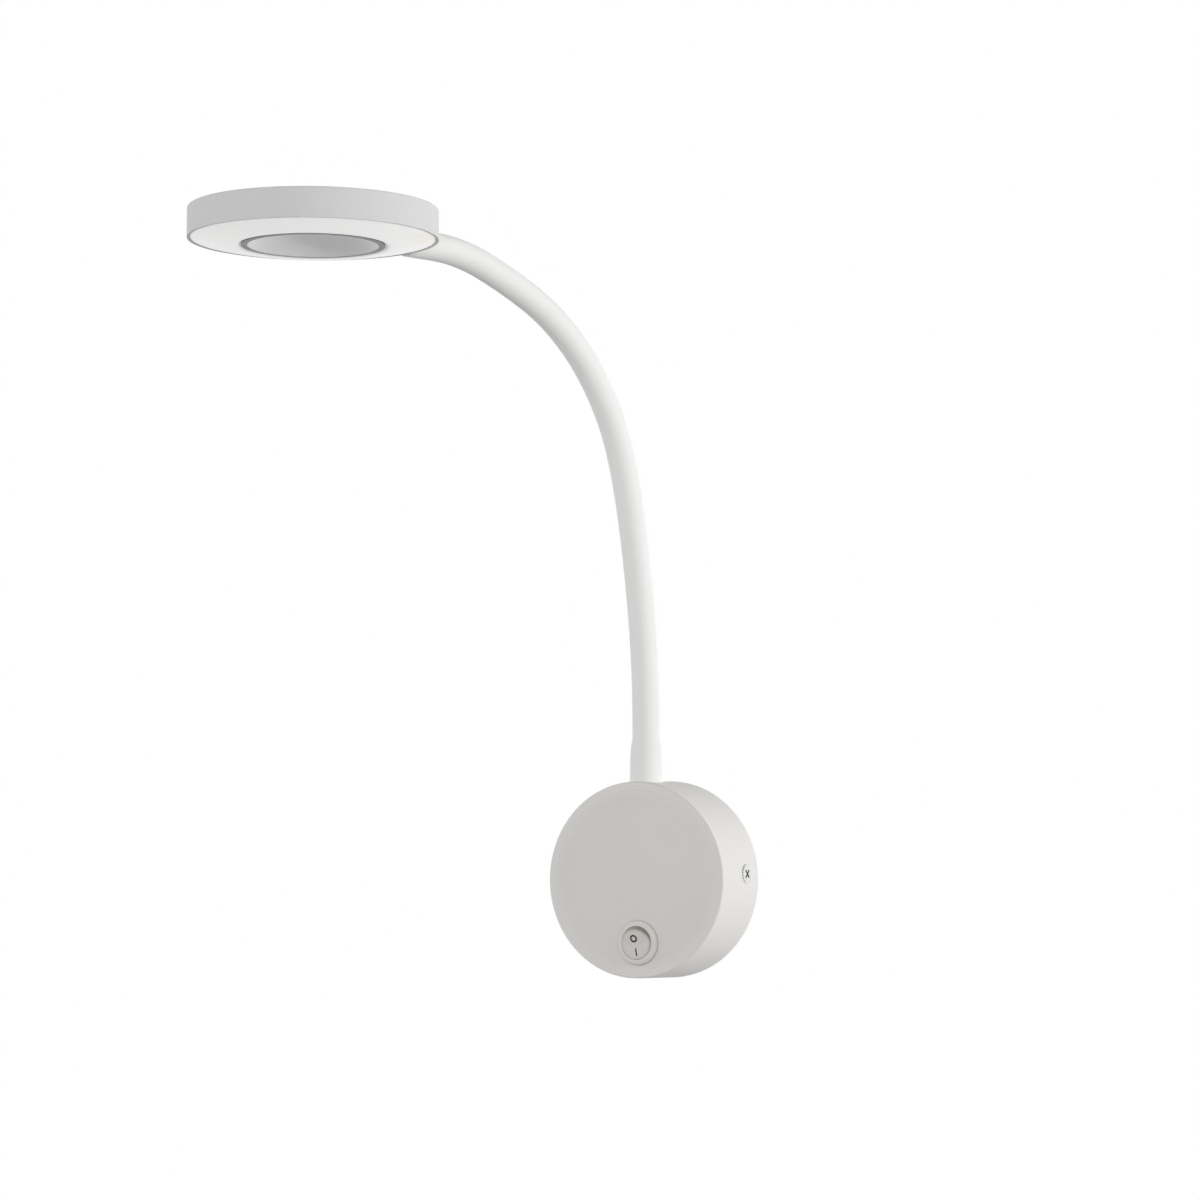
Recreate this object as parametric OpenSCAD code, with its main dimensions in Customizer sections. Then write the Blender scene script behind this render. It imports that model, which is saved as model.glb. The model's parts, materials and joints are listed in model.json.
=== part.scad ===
// Wall lamp on a flexible neck: a round drum that screws to the wall and holds
// the mains side, a gooseneck under a smooth silicone sleeve, and a flat round
// head with a ring of light around a shallow dish.
// The wall is the plane y = 0, the lamp stands out towards -y and z is up.
// The origin is the middle of the wall plate's back. Millimetres.

/* [Base drum] */
// Diameter of the drum's front face
base_d = 100; // [96:1:110]
// Depth of the drum from the wall to its front face
base_depth = 39; // [38:0.5:46]
// Growth of the drum's radius from front to wall
base_flare = 0.7; // [0.3:0.1:1.2]
// Thickness of the drum's side
base_wall = 2; // [1.6:0.1:2.4]
// Thickness of the drum's front
base_front = 2.4; // [2:0.1:2.8]
// Rounding of the drum's front edge
base_edge = 0.8; // [0.4:0.1:1.4]

/* [Wall plate] */
// Thickness of the wall plate
plate_t = 1.5; // [1.2:0.1:2]
// Height of the wall plate across its flats
plate_h = 40; // [36:1:44]
// Distance between the two wall screw holes
wall_screw_gap = 60; // [54:1:70]
// Diameter of the wall screw holes
wall_screw_d = 4.6; // [4:0.1:5.5]
// Diameter of the cable opening in the rubber bush
cable_d = 9; // [7:0.5:10]
// Distance of the two side screws from the wall
lock_from_wall = 13; // [12:0.5:16]
// Height of the two side screws above the drum's middle
lock_rise = 3; // [0:0.5:4]
// Diameter of a side screw's head
lock_head_d = 10; // [8:0.5:11]
// Diameter of a side screw's shank
lock_shank_d = 4; // [3:0.5:4.5]

/* [Switch] */
// Distance of the switch below the drum's middle
switch_drop = 32; // [31:0.5:34]
// Distance of the switch to the right of the drum's middle
switch_across = 1.7; // [0:0.1:2]
// Diameter of the switch bezel
bezel_d = 22.4; // [22:0.1:24]
// Height of the bezel above the drum's front
bezel_rise = 2.2; // [2:0.1:2.6]
// Turn of the switch in its round hole
switch_turn = 8.5; // [0:0.5:20]
// Radius of the rocker's rounded rim
rocker_r = 8.4; // [8:0.1:8.5]
// Half of the rocker's travel, in degrees
rocker_tilt = 10; // [8:0.5:12]
// Height of the rocker's valley above the bezel's top
rocker_proud = 0.3; // [0:0.1:0.6]

/* [Neck] */
// Outer diameter of the silicone sleeve
neck_d = 14; // [13:0.25:15]
// Thickness of the silicone sleeve
sleeve_t = 1.8; // [1.6:0.1:2]
// Distance of the neck's foot behind the drum's front
neck_back = 12.2; // [12:0.1:14]
// Diameter of the sleeve at the drum, where it is pulled over the ferrule
collar_d = 16.9; // [16.6:0.1:17.4]
// Diameter of the sleeve at the ferrule's upper end
collar_top_d = 16; // [15.8:0.1:16.4]
// Height of the ferrule above the drum
ferrule_h = 17.5; // [15:0.5:19]
// Height of the neck's first joint above the drum
first_joint = 28.8; // [28:0.2:34]
// Length of one link of the neck, joint to joint
link_len = 34.5; // [32:0.1:38]
// Turn of the bent neck about its foot, away from straight ahead
neck_swing = 17; // [-30:1:30]
// Bend of link 1 at rest
bend_1 = 4; // [1:0.5:16]
// Bend of link 2 at rest
bend_2 = 3.5; // [1:0.5:16]
// Bend of link 3 at rest
bend_3 = 2.5; // [1:0.5:16]
// Bend of link 4 at rest
bend_4 = 6.5; // [1:0.5:16]
// Bend of link 5 at rest
bend_5 = 16; // [1:0.5:18]
// Bend of link 6 at rest
bend_6 = 15.5; // [1:0.5:20]
// Bend of link 7 at rest
bend_7 = 17; // [1:0.5:18]
// Bend of link 8 at rest
bend_8 = 6.5; // [1:0.5:18]
// Bend of link 9 at rest
bend_9 = 18.5; // [1:0.5:20]
// Gap between a link's ball end and the next link's cup
ball_gap = 0.4; // [0.3:0.05:0.5]
// Diameter of the spring wire in the neck
wire_d = 2.1; // [1.8:0.1:2.2]
// Distance between turns of the spring wire
wire_pitch = 2.4; // [2.4:0.1:3]
// Diameter of the low-voltage lead inside the neck
lead_d = 4; // [3:0.25:4.25]

/* [Head] */
// Diameter of the head
head_d = 119; // [114:1:126]
// Height of the head's outer wall
head_h = 14.5; // [14:0.25:17]
// Thickness of the head's outer wall
head_wall = 1.2; // [1:0.1:1.6]
// Thickness of the head's top
head_top = 2; // [1.6:0.1:2.4]
// Rounding of the head's top edge
head_edge = 1; // [0.5:0.1:1.4]
// Length of the straight end of the neck at the head
stub_len = 16.2; // [16:0.1:20]
// Height of the neck's end above the head's lower rim
stub_rise = 5.9; // [5.9:0.1:7.2]
// Dark gap between the head's wall and the light ring
rim_gap = 0.6; // [0.4:0.05:0.9]
// Radius of curvature of the light ring's face
ring_bulge_r = 130; // [110:5:200]
// Thickness of the light ring
ring_t = 1.5; // [1.3:0.1:1.7]
// Drop of the light ring's inner edge below the head's rim
ring_drop = 3.3; // [3:0.1:3.8]
// Diameter at which the light ring rolls up to its lip
ring_roll_d = 73; // [71:0.5:76]
// Outer diameter of the dark trim ring
trim_d = 68.2; // [67:0.2:68.4]
// Inner diameter of the dark trim ring
trim_in_d = 62; // [61.4:0.2:63]
// Thickness of the dark trim ring
trim_t = 0.85; // [0.7:0.05:1]
// Depth of the dish in the middle
dish_depth = 12; // [10:0.25:13]
// Number of light-emitting chips on the board
led_count = 24; // [12:1:36]

/* [Fits] */
// Gap between faces that rest on each other
seat = 0.05; // [0.02:0.01:0.1]
// Gap around a shank or body in its hole, on the radius
hole_gap = 0.2; // [0.15:0.05:0.3]
// Gap around the rocker's ball and pins
rocker_gap = 0.3; // [0.25:0.05:0.35]
// Gap around a running pin, on the radius
pin_gap = 0.08; // [0.05:0.01:0.1]

/* [Hidden] */
$fn = 96;

paint_white = [0.86, 0.85, 0.83];
silicone_white = [0.9, 0.9, 0.89];
opal_white = [0.94, 0.94, 0.92];
zinc = [0.72, 0.73, 0.74];
brass = [0.78, 0.66, 0.36];
steel = [0.6, 0.61, 0.62];
dark_grey = [0.5, 0.5, 0.51];
dish_grey = [0.72, 0.72, 0.73];
nylon_white = [0.92, 0.91, 0.88];
rubber_black = [0.12, 0.12, 0.12];

front_r = base_d / 2;
wall_r = front_r + base_flare;
side_end = base_depth - base_edge;
neck_y = base_depth - neck_back;
function drum_r(from_wall) = wall_r - base_flare * min(from_wall, side_end) / side_end;

neck_r = neck_d / 2;
bore_r = neck_r - sleeve_t;
cup_r = neck_r + ball_gap;
ball_r = neck_r - 0.15;
ball_h = 3.4;
ball_root = 1;
bends = [bend_1, bend_2, bend_3, bend_4, bend_5, bend_6, bend_7, bend_8, bend_9];
links = len(bends);
function arc_r(k) = link_len / (bends[k - 1] * PI / 180);

// flat on the drum under the neck, as wide as the collar
foot_z = sqrt(pow(drum_r(neck_y), 2) - pow(collar_d / 2, 2));
joint_1_z = foot_z + first_joint;
stud_r = 5;
stud_bore_r = 3;
ferrule_r = collar_top_d / 2 - 1.4;
pad_z = foot_z - 3;
washer_t = 1;
nut_h = 5;
nut_flats = 14;

wire_r = wire_d / 2;
coil_r = bore_r - 0.2 - wire_r;
coil_first = sqrt(pow(cup_r + wire_r + 0.1, 2) - coil_r * coil_r);
coil_past = 3;

head_r = head_d / 2;
head_in_r = head_r - head_wall;
ring_r = head_in_r - rim_gap;
ring_roll_r = ring_roll_d / 2;
roll_r = 2;
lip_z = roll_r - ring_drop;
land_z = head_h - head_top - 1.7;
board_t = 1.2;
boss_in_r = trim_in_d / 2 - 0.1;
boss_out_r = boss_in_r + 3;
head_pad_x = head_in_r - 3;
head_nut_h = 4;
head_nut_flats = 10;
board_in_r = boss_out_r + 0.8;
board_out_r = head_pad_x - head_nut_h - 2.3;
led_r = (board_in_r + board_out_r) / 2;
head_stud_r = 4;
nut_pad_w = 18;
nut_pad_z = 1.2;
trim_top = -ring_drop + 0.15 + trim_t;
flange_z = trim_top + seat;
dish_rim_r = trim_in_d / 2 - seat;
dish_edge_r = dish_rim_r - 0.5;
dish_t = 1.2;
dish_z = trim_top - trim_t + 0.1;

switch_pivot = 0.4;
socket_r = rocker_r + rocker_gap;
switch_hole_r = 10;
switch_body_r = switch_hole_r - hole_gap;
switch_depth = 13;
valley = bezel_rise - switch_pivot + rocker_proud;
plunger_r = 0.8;
plunger_reach = 8.5;
lever_z = switch_pivot - plunger_reach - 0.5;
lever_tilt = 6;

// places on the lamp
module on_wall() {
    rotate([90, 0, 0])
        children();
}

module at_switch() {
    on_wall()
        translate([switch_across, -switch_drop, base_depth])
            rotate([0, 0, switch_turn])
                children();
}

module at_foot() {
    translate([0, -neck_y, 0])
        rotate([0, 0, -90 - neck_swing])
            children();
}

// one link on from its lower joint, around its bend
module past_link(k) {
    b = bends[k - 1];
    translate([arc_r(k) * (1 - cos(b)), 0, arc_r(k) * sin(b)])
        rotate([0, b, 0])
            children();
}

module at_joint(k) {
    if (k > 1)
        at_joint(k - 1)
            past_link(k - 1)
                children();
    else
        at_foot()
            translate([0, 0, joint_1_z])
                children();
}

// a distance along a link from its lower joint, on past its upper joint if need be
module along_link(k, s) {
    turn = min(1, s / link_len) * bends[k - 1];
    translate([arc_r(k) * (1 - cos(turn)), 0, arc_r(k) * sin(turn)])
        rotate([0, turn, 0])
            translate([0, 0, max(0, s - link_len)])
                children();
}

module at_head() {
    at_joint(links + 1)
        rotate([0, -90, 0])
            translate([stub_len + head_r, 0, -stub_rise])
                children();
}

// shapes used more than once
module rounded_block(size, r) {
    linear_extrude(size[2])
        union() {
            square([size[0] - 2 * r, size[1]], center = true);
            square([size[0], size[1] - 2 * r], center = true);
            for (x = [-1, 1], y = [-1, 1])
                translate([x * (size[0] / 2 - r), y * (size[1] / 2 - r)])
                    circle(r);
        }
}

module pipe(r_out, r_in, h) {
    difference() {
        cylinder(r = r_out, h = h);
        translate([0, 0, -1])
            cylinder(r = r_in, h = h + 2);
    }
}

// ball zone at a link's upper end, rooted in the wall of the sleeve
module ball_end() {
    rotate_extrude()
        intersection() {
            union() {
                circle(ball_r);
                translate([0, -ball_root])
                    square([ball_r, ball_root]);
            }
            translate([bore_r + 0.3, -ball_root])
                square([neck_r, ball_root + ball_h]);
        }
}

module spring_turn() {
    rotate_extrude()
        translate([coil_r, 0])
            circle(wire_r);
}

function ease(t) = (1 - cos(180 * t)) / 2;
function cubic(a, b, c, d, t) = a * pow(1 - t, 3) + 3 * b * t * pow(1 - t, 2)
    + 3 * c * t * t * (1 - t) + d * pow(t, 3);
function unit(v) = v / norm(v);
function direction(p, i) = unit(p[min(i + 1, len(p) - 1)] - p[max(i - 1, 0)]);

// a round wire along a row of points, none of which runs along the vector side
module wire_along(p, r, side) {
    n = 8;
    rings = [for (i = [0:len(p) - 1])
        let (d = direction(p, i), u = unit(cross(side, d)), v = cross(d, u))
        for (j = [0:n - 1]) p[i] + r * (cos(360 * j / n) * u + sin(360 * j / n) * v)];
    last = (len(p) - 1) * n;
    sides = [for (i = [0:len(p) - 2], j = [0:n - 1])
        let (a = i * n + j, b = i * n + (j + 1) % n)
        each [[a, a + n, b], [b, a + n, b + n]]];
    caps = [[for (j = [0:n - 1]) j], [for (j = [0:n - 1]) last + n - 1 - j]];
    polyhedron(points = rings, faces = concat(sides, caps));
}

// drum and wall plate
module drum_solid() {
    rotate_extrude()
        union() {
            polygon([[0, 0], [wall_r, 0], [front_r, side_end], [front_r - base_edge, base_depth],
                [0, base_depth]]);
            translate([front_r - base_edge, side_end])
                circle(base_edge);
        }
}

module drum_room() {
    rotate_extrude()
        polygon([[0, -1], [wall_r - base_wall, -1], [wall_r - base_wall, 0],
            [front_r - base_wall, base_depth - base_front], [0, base_depth - base_front]]);
}

module base_housing() {
    color(paint_white)
        difference() {
            union() {
                difference() {
                    on_wall()
                        drum_solid();
                    on_wall()
                        drum_room();
                }
                // pad that gives the neck's nut a flat seat
                intersection() {
                    on_wall()
                        drum_solid();
                    translate([0, -neck_y, pad_z])
                        cylinder(r = neck_back - base_front + 0.8, h = 10);
                }
            }
            translate([0, -neck_y, foot_z])
                cylinder(r = collar_d / 2 + hole_gap, h = 10);
            translate([0, -neck_y, pad_z - 5])
                cylinder(r = stud_r + hole_gap, h = 20);
            on_wall()
                translate([switch_across, -switch_drop, base_depth - base_front - 1])
                    cylinder(r = switch_hole_r, h = base_front + 2);
            for (side = [-1, 1])
                translate([side * (front_r - base_wall - 3), -lock_from_wall, lock_rise])
                    rotate([0, side * 90, 0])
                        cylinder(d = lock_shank_d + 2 * hole_gap, h = 12);
        }
}

plate_r = wall_r - base_wall - 0.5;
lug_t = 1.8;
lug_w = 14;
lug_h = lock_from_wall + 6;
lug_x = sqrt(pow(drum_r(lug_h) - base_wall, 2) - pow(lock_rise + lug_w / 2, 2)) - 0.3 - lug_t;
bush_hole_r = cable_d / 2 + 2.5;

module wall_plate() {
    color(zinc)
        on_wall()
            difference() {
                union() {
                    intersection() {
                        cylinder(r = plate_r, h = plate_t);
                        translate([-plate_r, -plate_h / 2, 0])
                            cube([2 * plate_r, plate_h, plate_t]);
                    }
                    for (side = [0, 1])
                        mirror([side, 0, 0])
                            translate([lug_x, lock_rise - lug_w / 2, 0])
                                cube([lug_t, lug_w, lug_h]);
                }
                translate([0, 0, -1])
                    cylinder(r = bush_hole_r, h = plate_t + 2);
                for (side = [-1, 1]) {
                    translate([side * wall_screw_gap / 2, 0, -1])
                        cylinder(d = wall_screw_d, h = plate_t + 2);
                    translate([side * (lug_x - 2), lock_rise, lock_from_wall])
                        rotate([0, side * 90, 0])
                            cylinder(d = lock_shank_d + 2 * pin_gap, h = 8);
                }
            }
}

module cable_bush() {
    color(rubber_black)
        on_wall()
            difference() {
                union() {
                    cylinder(r = bush_hole_r - seat, h = plate_t + 1);
                    translate([0, 0, plate_t + seat])
                        cylinder(r = bush_hole_r + 2, h = 1.6);
                }
                translate([0, 0, -1])
                    cylinder(d = cable_d, h = plate_t + 5);
            }
}

lock_seat = drum_r(lock_from_wall - lock_head_d / 2) + seat;
lock_head_h = 1.2;
lock_tip = lug_x - 2.5;

module lock_screw(side) {
    color(zinc)
        translate([0, -lock_from_wall, lock_rise])
            rotate([0, side * 90, 0])
                union() {
                    translate([0, 0, lock_tip])
                        cylinder(d = lock_shank_d, h = lock_seat - lock_tip + lock_head_h / 2);
                    translate([0, 0, lock_seat])
                        cylinder(d1 = lock_head_d, d2 = lock_head_d - 0.8, h = lock_head_h);
                }
}

module lock_screw_right() {
    lock_screw(1);
}

module lock_screw_left() {
    lock_screw(-1);
}

// mains side inside the drum
driver_size = [54, 30, 16];
driver_y = 2;
pad_t = 1;
driver_z = base_depth - base_front - seat - pad_t - driver_size[2];
block_size = [30, 14, 13];
block_y = -17;
pole_gap = 10;
socket_x = 14;

module terminal_block() {
    color(nylon_white)
        on_wall()
            translate([0, block_y, plate_t + seat])
                difference() {
                    union() {
                        rounded_block([block_size[0], block_size[1], 7], 1);
                        for (i = [-1:1])
                            translate([i * pole_gap, 0, 0])
                                rounded_block([7.6, 10, block_size[2]], 1);
                    }
                    for (i = [-1:1]) {
                        translate([i * pole_gap, -10, 4])
                            rotate([-90, 0, 0])
                                cylinder(d = 3.6, h = 20);
                        translate([i * pole_gap, 0, 6])
                            cylinder(d = 4, h = 10);
                    }
                }
}

module led_driver() {
    color(nylon_white)
        on_wall()
            translate([0, driver_y, driver_z])
                difference() {
                    rounded_block(driver_size, 2);
                    // parting line of the lid
                    translate([0, 0, 3])
                        difference() {
                            rounded_block([driver_size[0] + 2, driver_size[1] + 2, 0.5], 2);
                            translate([0, 0, -1])
                                rounded_block([driver_size[0] - 0.8, driver_size[1] - 0.8, 3], 1.8);
                        }
                    // sockets for the wires
                    for (x = [-socket_x, socket_x])
                        translate([x, -driver_size[1] / 2 - 1, driver_size[2] / 2])
                            rotate([-90, 0, 0])
                                cylinder(d = 3, h = 5);
                    translate([0, driver_size[1] / 2 - 4, neck_y - driver_z])
                        rotate([-90, 0, 0])
                            cylinder(d = lead_d + 0.6, h = 5);
                }
}

module driver_pad() {
    color(dark_grey)
        on_wall()
            translate([0, driver_y, driver_z + driver_size[2] + seat / 2])
                rounded_block([driver_size[0] - 6, driver_size[1] - 6, pad_t], 2);
}

blade_gap = 8;
blade_len = 8;
module base_wires() {
    steps = 14;
    side = [0.35, 0.2, 1];
    turn = switch_turn;
    blade_z = base_depth - switch_depth - blade_len;
    middle = [switch_across, -switch_drop, blade_z];
    lean = blade_gap / 2 * [sin(turn), -cos(turn), 0];
    upper = middle - lean;
    lower = middle + lean;
    pole = block_y - block_size[1] / 2 + 2;
    socket = driver_y - driver_size[1] / 2 + 2;
    pole_z = plate_t + seat + 4;
    socket_z = driver_z + driver_size[2] / 2;
    below = [0, 0, -1.3];
    runs = [[lower + below, [0, -40, 8], [-pole_gap, -36, pole_z], [-pole_gap, pole, pole_z]],
        [upper + below, [-10, -29, 12], [-socket_x, -26, socket_z], [-socket_x, socket, socket_z]],
        [[pole_gap, pole, pole_z], [pole_gap, -36, pole_z], [socket_x, -30, socket_z],
            [socket_x, socket, socket_z]]];
    color(rubber_black)
        on_wall()
            for (run = runs)
                wire_along([for (i = [0:steps]) cubic(run[0], run[1], run[2], run[3], i / steps)],
                    1, side);
}

// rocker switch
module switch_body() {
    color(nylon_white)
        at_switch()
            difference() {
                union() {
                    translate([0, 0, seat])
                        rotate_extrude()
                            polygon([[0, 0], [bezel_d / 2, 0], [bezel_d / 2, 0.5],
                                for (a = [6:6:84]) [socket_r + 0.2 + (bezel_d / 2 - socket_r - 0.2) * cos(a),
                                    0.5 + (bezel_rise - seat - 0.5) * sin(a)],
                                [socket_r + 0.2, bezel_rise - seat], [0, bezel_rise - seat]]);
                    translate([0, 0, -switch_depth])
                        cylinder(r = switch_body_r, h = switch_depth + 0.5);
                    // snap ears behind the drum's front
                    for (a = [0, 180])
                        rotate([0, 0, a])
                            translate([switch_body_r - 1, -3, -base_front - seat - 5])
                                cube([1.8, 6, 5]);
                }
                translate([0, 0, switch_pivot])
                    sphere(socket_r);
                translate([0, 0, lever_z - 1.6])
                    cylinder(r = 6.2, h = 6);
                translate([-9.7, 0, switch_pivot])
                    rotate([0, 90, 0])
                        cylinder(r = 0.7 + pin_gap, h = 19.4);
                for (y = [-1, 1])
                    translate([-2.4 - seat, y * blade_gap / 2 - 0.4 - seat, -switch_depth - 1])
                        cube([4.8 + 2 * seat, 0.8 + 2 * seat, switch_depth + lever_z]);
            }
}

module switch_terminals() {
    color(brass)
        at_switch()
            for (y = [-1, 1])
                translate([-2.4, y * blade_gap / 2 - 0.4, -switch_depth - blade_len])
                    cube([4.8, 0.8, switch_depth + blade_len + lever_z - 1.1]);
}

module switch_rocker() {
    rise = tan(rocker_tilt);
    color(nylon_white)
        at_switch()
            translate([0, 0, switch_pivot])
                rotate([rocker_tilt, 0, 0])
                    difference() {
                        union() {
                            difference() {
                                sphere(rocker_r);
                                rotate([90, 0, 90])
                                    translate([0, 0, -10])
                                        linear_extrude(20)
                                            polygon([[0, valley], [10, valley + 10 * rise], [10, 12],
                                                [-10, 12], [-10, valley + 10 * rise]]);
                                translate([-10, -10, -14])
                                    cube([20, 20, 10.5]);
                            }
                            translate([0, 0, -6])
                                cylinder(r = 1.9, h = 4);
                            translate([-9.6, 0, 0])
                                rotate([0, 90, 0])
                                    cylinder(r = 0.7, h = 19.2);
                        }
                        translate([0, 0, -7])
                            cylinder(r = plunger_r + pin_gap, h = 6);
                    }
}

module switch_plunger() {
    color(brass)
        at_switch()
            translate([0, 0, switch_pivot])
                rotate([rocker_tilt, 0, 0])
                    union() {
                        translate([0, 0, plunger_r - plunger_reach])
                            cylinder(r = plunger_r, h = plunger_reach - plunger_r - 1.2);
                        translate([0, 0, plunger_r - plunger_reach])
                            sphere(plunger_r);
                    }
}

module switch_lever() {
    color(brass)
        at_switch()
            translate([0, 0, lever_z])
                rotate([-lever_tilt, 0, 0])
                    union() {
                        translate([-1.75, -4.8, -0.3])
                            cube([3.5, 9.6, 0.6]);
                        translate([-2.2, 0, -0.3])
                            rotate([0, 90, 0])
                                cylinder(r = 0.5, h = 4.4);
                    }
}

// foot of the neck
module root_ferrule() {
    color(zinc)
        at_foot()
            difference() {
                union() {
                    translate([0, 0, pad_z - washer_t - nut_h - 2])
                        cylinder(r = stud_r, h = 20);
                    translate([0, 0, foot_z + seat])
                        cylinder(r = ferrule_r, h = ferrule_h - seat);
                }
                translate([0, 0, pad_z - washer_t - nut_h - 3])
                    cylinder(r = stud_bore_r, h = 40);
                translate([0, 0, foot_z + 4])
                    cylinder(r = bore_r - 0.1, h = ferrule_h);
            }
}

module root_washer() {
    color(steel)
        at_foot()
            translate([0, 0, pad_z - seat - washer_t])
                pipe(nut_flats / 2 + 1, stud_r + hole_gap, washer_t);
}

module root_nut() {
    color(zinc)
        at_foot()
            translate([0, 0, pad_z - 2 * seat - washer_t - nut_h])
                difference() {
                    cylinder(r = nut_flats / 2 / cos(30), h = nut_h, $fn = 6);
                    translate([0, 0, -1])
                        cylinder(r = stud_r + pin_gap, h = nut_h + 2);
                }
}

module root_coil() {
    first = foot_z + 4 + wire_r + seat;
    last = joint_1_z + coil_past;
    turns = floor((last - first) / wire_pitch);
    color(steel)
        at_foot()
            for (i = [0:turns])
                translate([0, 0, last - i * wire_pitch])
                    spring_turn();
}

module root_sleeve() {
    bottom = foot_z + seat;
    top = foot_z + ferrule_h;
    shoulder = 6.5;
    steps = 8;
    color(silicone_white)
        at_foot()
            union() {
                rotate_extrude()
                    polygon([[ferrule_r + seat, bottom], [collar_d / 2, bottom],
                        [collar_d / 2, bottom + 0.5],
                        for (i = [0:steps])
                            [collar_top_d / 2 + (neck_r - collar_top_d / 2) * ease(i / steps),
                                top - 1 + shoulder * i / steps],
                        [neck_r, joint_1_z], [bore_r, joint_1_z],
                        [bore_r, top + 1.5], [ferrule_r + seat, top + seat]]);
                translate([0, 0, joint_1_z])
                    ball_end();
            }
}

// links of the neck
module neck_sleeve(k) {
    b = bends[k - 1];
    color(silicone_white)
        at_joint(k)
            union() {
                difference() {
                    translate([arc_r(k), 0, 0])
                        rotate([90, 0, 180])
                            rotate_extrude(angle = b)
                                translate([arc_r(k), 0])
                                    difference() {
                                        circle(neck_r);
                                        circle(bore_r);
                                    }
                    sphere(cup_r);
                }
                past_link(k)
                    ball_end();
            }
}

module neck_coil(k) {
    turns = floor((link_len + coil_past - coil_first) / wire_pitch);
    color(steel)
        at_joint(k)
            for (i = [0:turns])
                along_link(k, link_len + coil_past - i * wire_pitch)
                    spring_turn();
}

// the lead's path in the neck's plane, as distance out and height
function step_on(p, k) = let (b = bends[k - 1], a = p[2], r = arc_r(k))
    [p[0] + r * (cos(a) - cos(a + b)), p[1] + r * (sin(a + b) - sin(a)), a + b];
function joint_place(k) = k == 1 ? [0, joint_1_z, 0] : step_on(joint_place(k - 1), k - 1);
function on_link(k, t) = let (p = joint_place(k), a = p[2], r = arc_r(k), turn = bends[k - 1] * t)
    [p[0] + r * (cos(a) - cos(a + turn)), 0, p[1] + r * (sin(a + turn) - sin(a))];
function past_end(p, out, up) = [p[0] + out * sin(p[2]) - up * cos(p[2]), 0,
    p[1] + out * cos(p[2]) + up * sin(p[2])];

module neck_lead() {
    end = joint_place(links + 1);
    inside = stub_len + 8;
    board_up = land_z - board_t - stub_rise - lead_d / 2 - 1.2;
    path = concat([[0, 0, driver_y + driver_size[1] / 2 - 3], [0, 0, joint_1_z - 8]],
        [for (k = [1:links], t = [0:0.2:0.8]) on_link(k, t)],
        [past_end(end, 0, 0), past_end(end, inside, 0)],
        [for (t = [0.2:0.2:1]) past_end(end, inside + 8 * t, board_up * ease(t))]);
    color(nylon_white)
        at_foot()
            wire_along(path, lead_d / 2, [0, 1, 0]);
}

// head
module head_sleeve() {
    color(silicone_white)
        difference() {
            at_joint(links + 1)
                difference() {
                    pipe(neck_r, bore_r, stub_len + 1);
                    sphere(cup_r);
                }
            at_head()
                translate([0, 0, -10])
                    cylinder(r = head_r + seat, h = 40);
        }
}

ferrule_start = cup_r + 0.6;

module head_ferrule() {
    color(zinc)
        at_joint(links + 1)
            difference() {
                union() {
                    translate([0, 0, ferrule_start])
                        cylinder(r = bore_r - 0.1, h = stub_len - ferrule_start - 0.6);
                    translate([0, 0, ferrule_start])
                        cylinder(r = head_stud_r,
                            h = stub_len + head_r - head_pad_x + head_nut_h + 1 - ferrule_start);
                }
                translate([0, 0, -1])
                    cylinder(r = lead_d / 2 + 0.3, h = 60);
            }
}

module head_nut() {
    color(zinc)
        at_head()
            translate([-head_pad_x + seat, 0, stub_rise])
                rotate([0, 90, 0])
                    difference() {
                        rotate([0, 0, 30])
                            cylinder(r = head_nut_flats / 2 / cos(30), h = head_nut_h, $fn = 6);
                        translate([0, 0, -1])
                            cylinder(r = head_stud_r + pin_gap, h = head_nut_h + 2);
                    }
}

module head_housing() {
    inner_top = head_h - head_top;
    color(paint_white)
        at_head()
            difference() {
                union() {
                    rotate_extrude()
                        union() {
                            difference() {
                                union() {
                                    square([head_r, head_h - head_edge]);
                                    square([head_r - head_edge, head_h]);
                                    translate([head_r - head_edge, head_h - head_edge])
                                        circle(head_edge);
                                }
                                translate([-1, -1])
                                    square([head_in_r + 1, inner_top + 1]);
                            }
                            // land that the board lies against
                            translate([board_in_r - 0.4, land_z])
                                square([board_out_r - board_in_r + 0.8, inner_top - land_z + 0.5]);
                            // wall that the dish snaps into
                            difference() {
                                translate([boss_in_r, lip_z + ring_t + seat])
                                    square([boss_out_r - boss_in_r, inner_top - lip_z - ring_t]);
                                translate([boss_in_r - 0.5, 4])
                                    square([1.3, 2]);
                            }
                        }
                    // flat seat for the nut of the neck
                    intersection() {
                        cylinder(r = head_r - 0.3, h = inner_top + 0.5);
                        translate([-head_r, -nut_pad_w / 2, nut_pad_z])
                            cube([head_r - head_pad_x, nut_pad_w, inner_top]);
                    }
                }
                translate([-head_r - 1, 0, stub_rise])
                    rotate([0, 90, 0])
                        cylinder(r = head_stud_r + hole_gap, h = 8);
            }
}

module led_board() {
    color(paint_white)
        at_head()
            translate([0, 0, land_z - seat - board_t])
                pipe(board_out_r, board_in_r, board_t);
}

module led_chips() {
    color(brass)
        at_head()
            for (i = [0:led_count - 1])
                rotate([0, 0, 360 * (i + 0.5) / led_count])
                    translate([led_r - 1.4, -1.75, land_z - 2 * seat - board_t - 0.8])
                        cube([2.8, 3.5, 0.8]);
}

// face of the ring: an arc from its rolled inner edge up to the head's rim
ring_edge_z = 0.2;
face_run = ring_r - ring_roll_r;
face_rise = ring_drop + ring_edge_z;
face_chord = norm([face_run, face_rise]);
face_lean = atan2(face_rise, face_run) - asin(face_chord / 2 / ring_bulge_r);
face_x = ring_roll_r - ring_bulge_r * sin(face_lean);
face_z = -ring_drop + ring_bulge_r * cos(face_lean);

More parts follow.
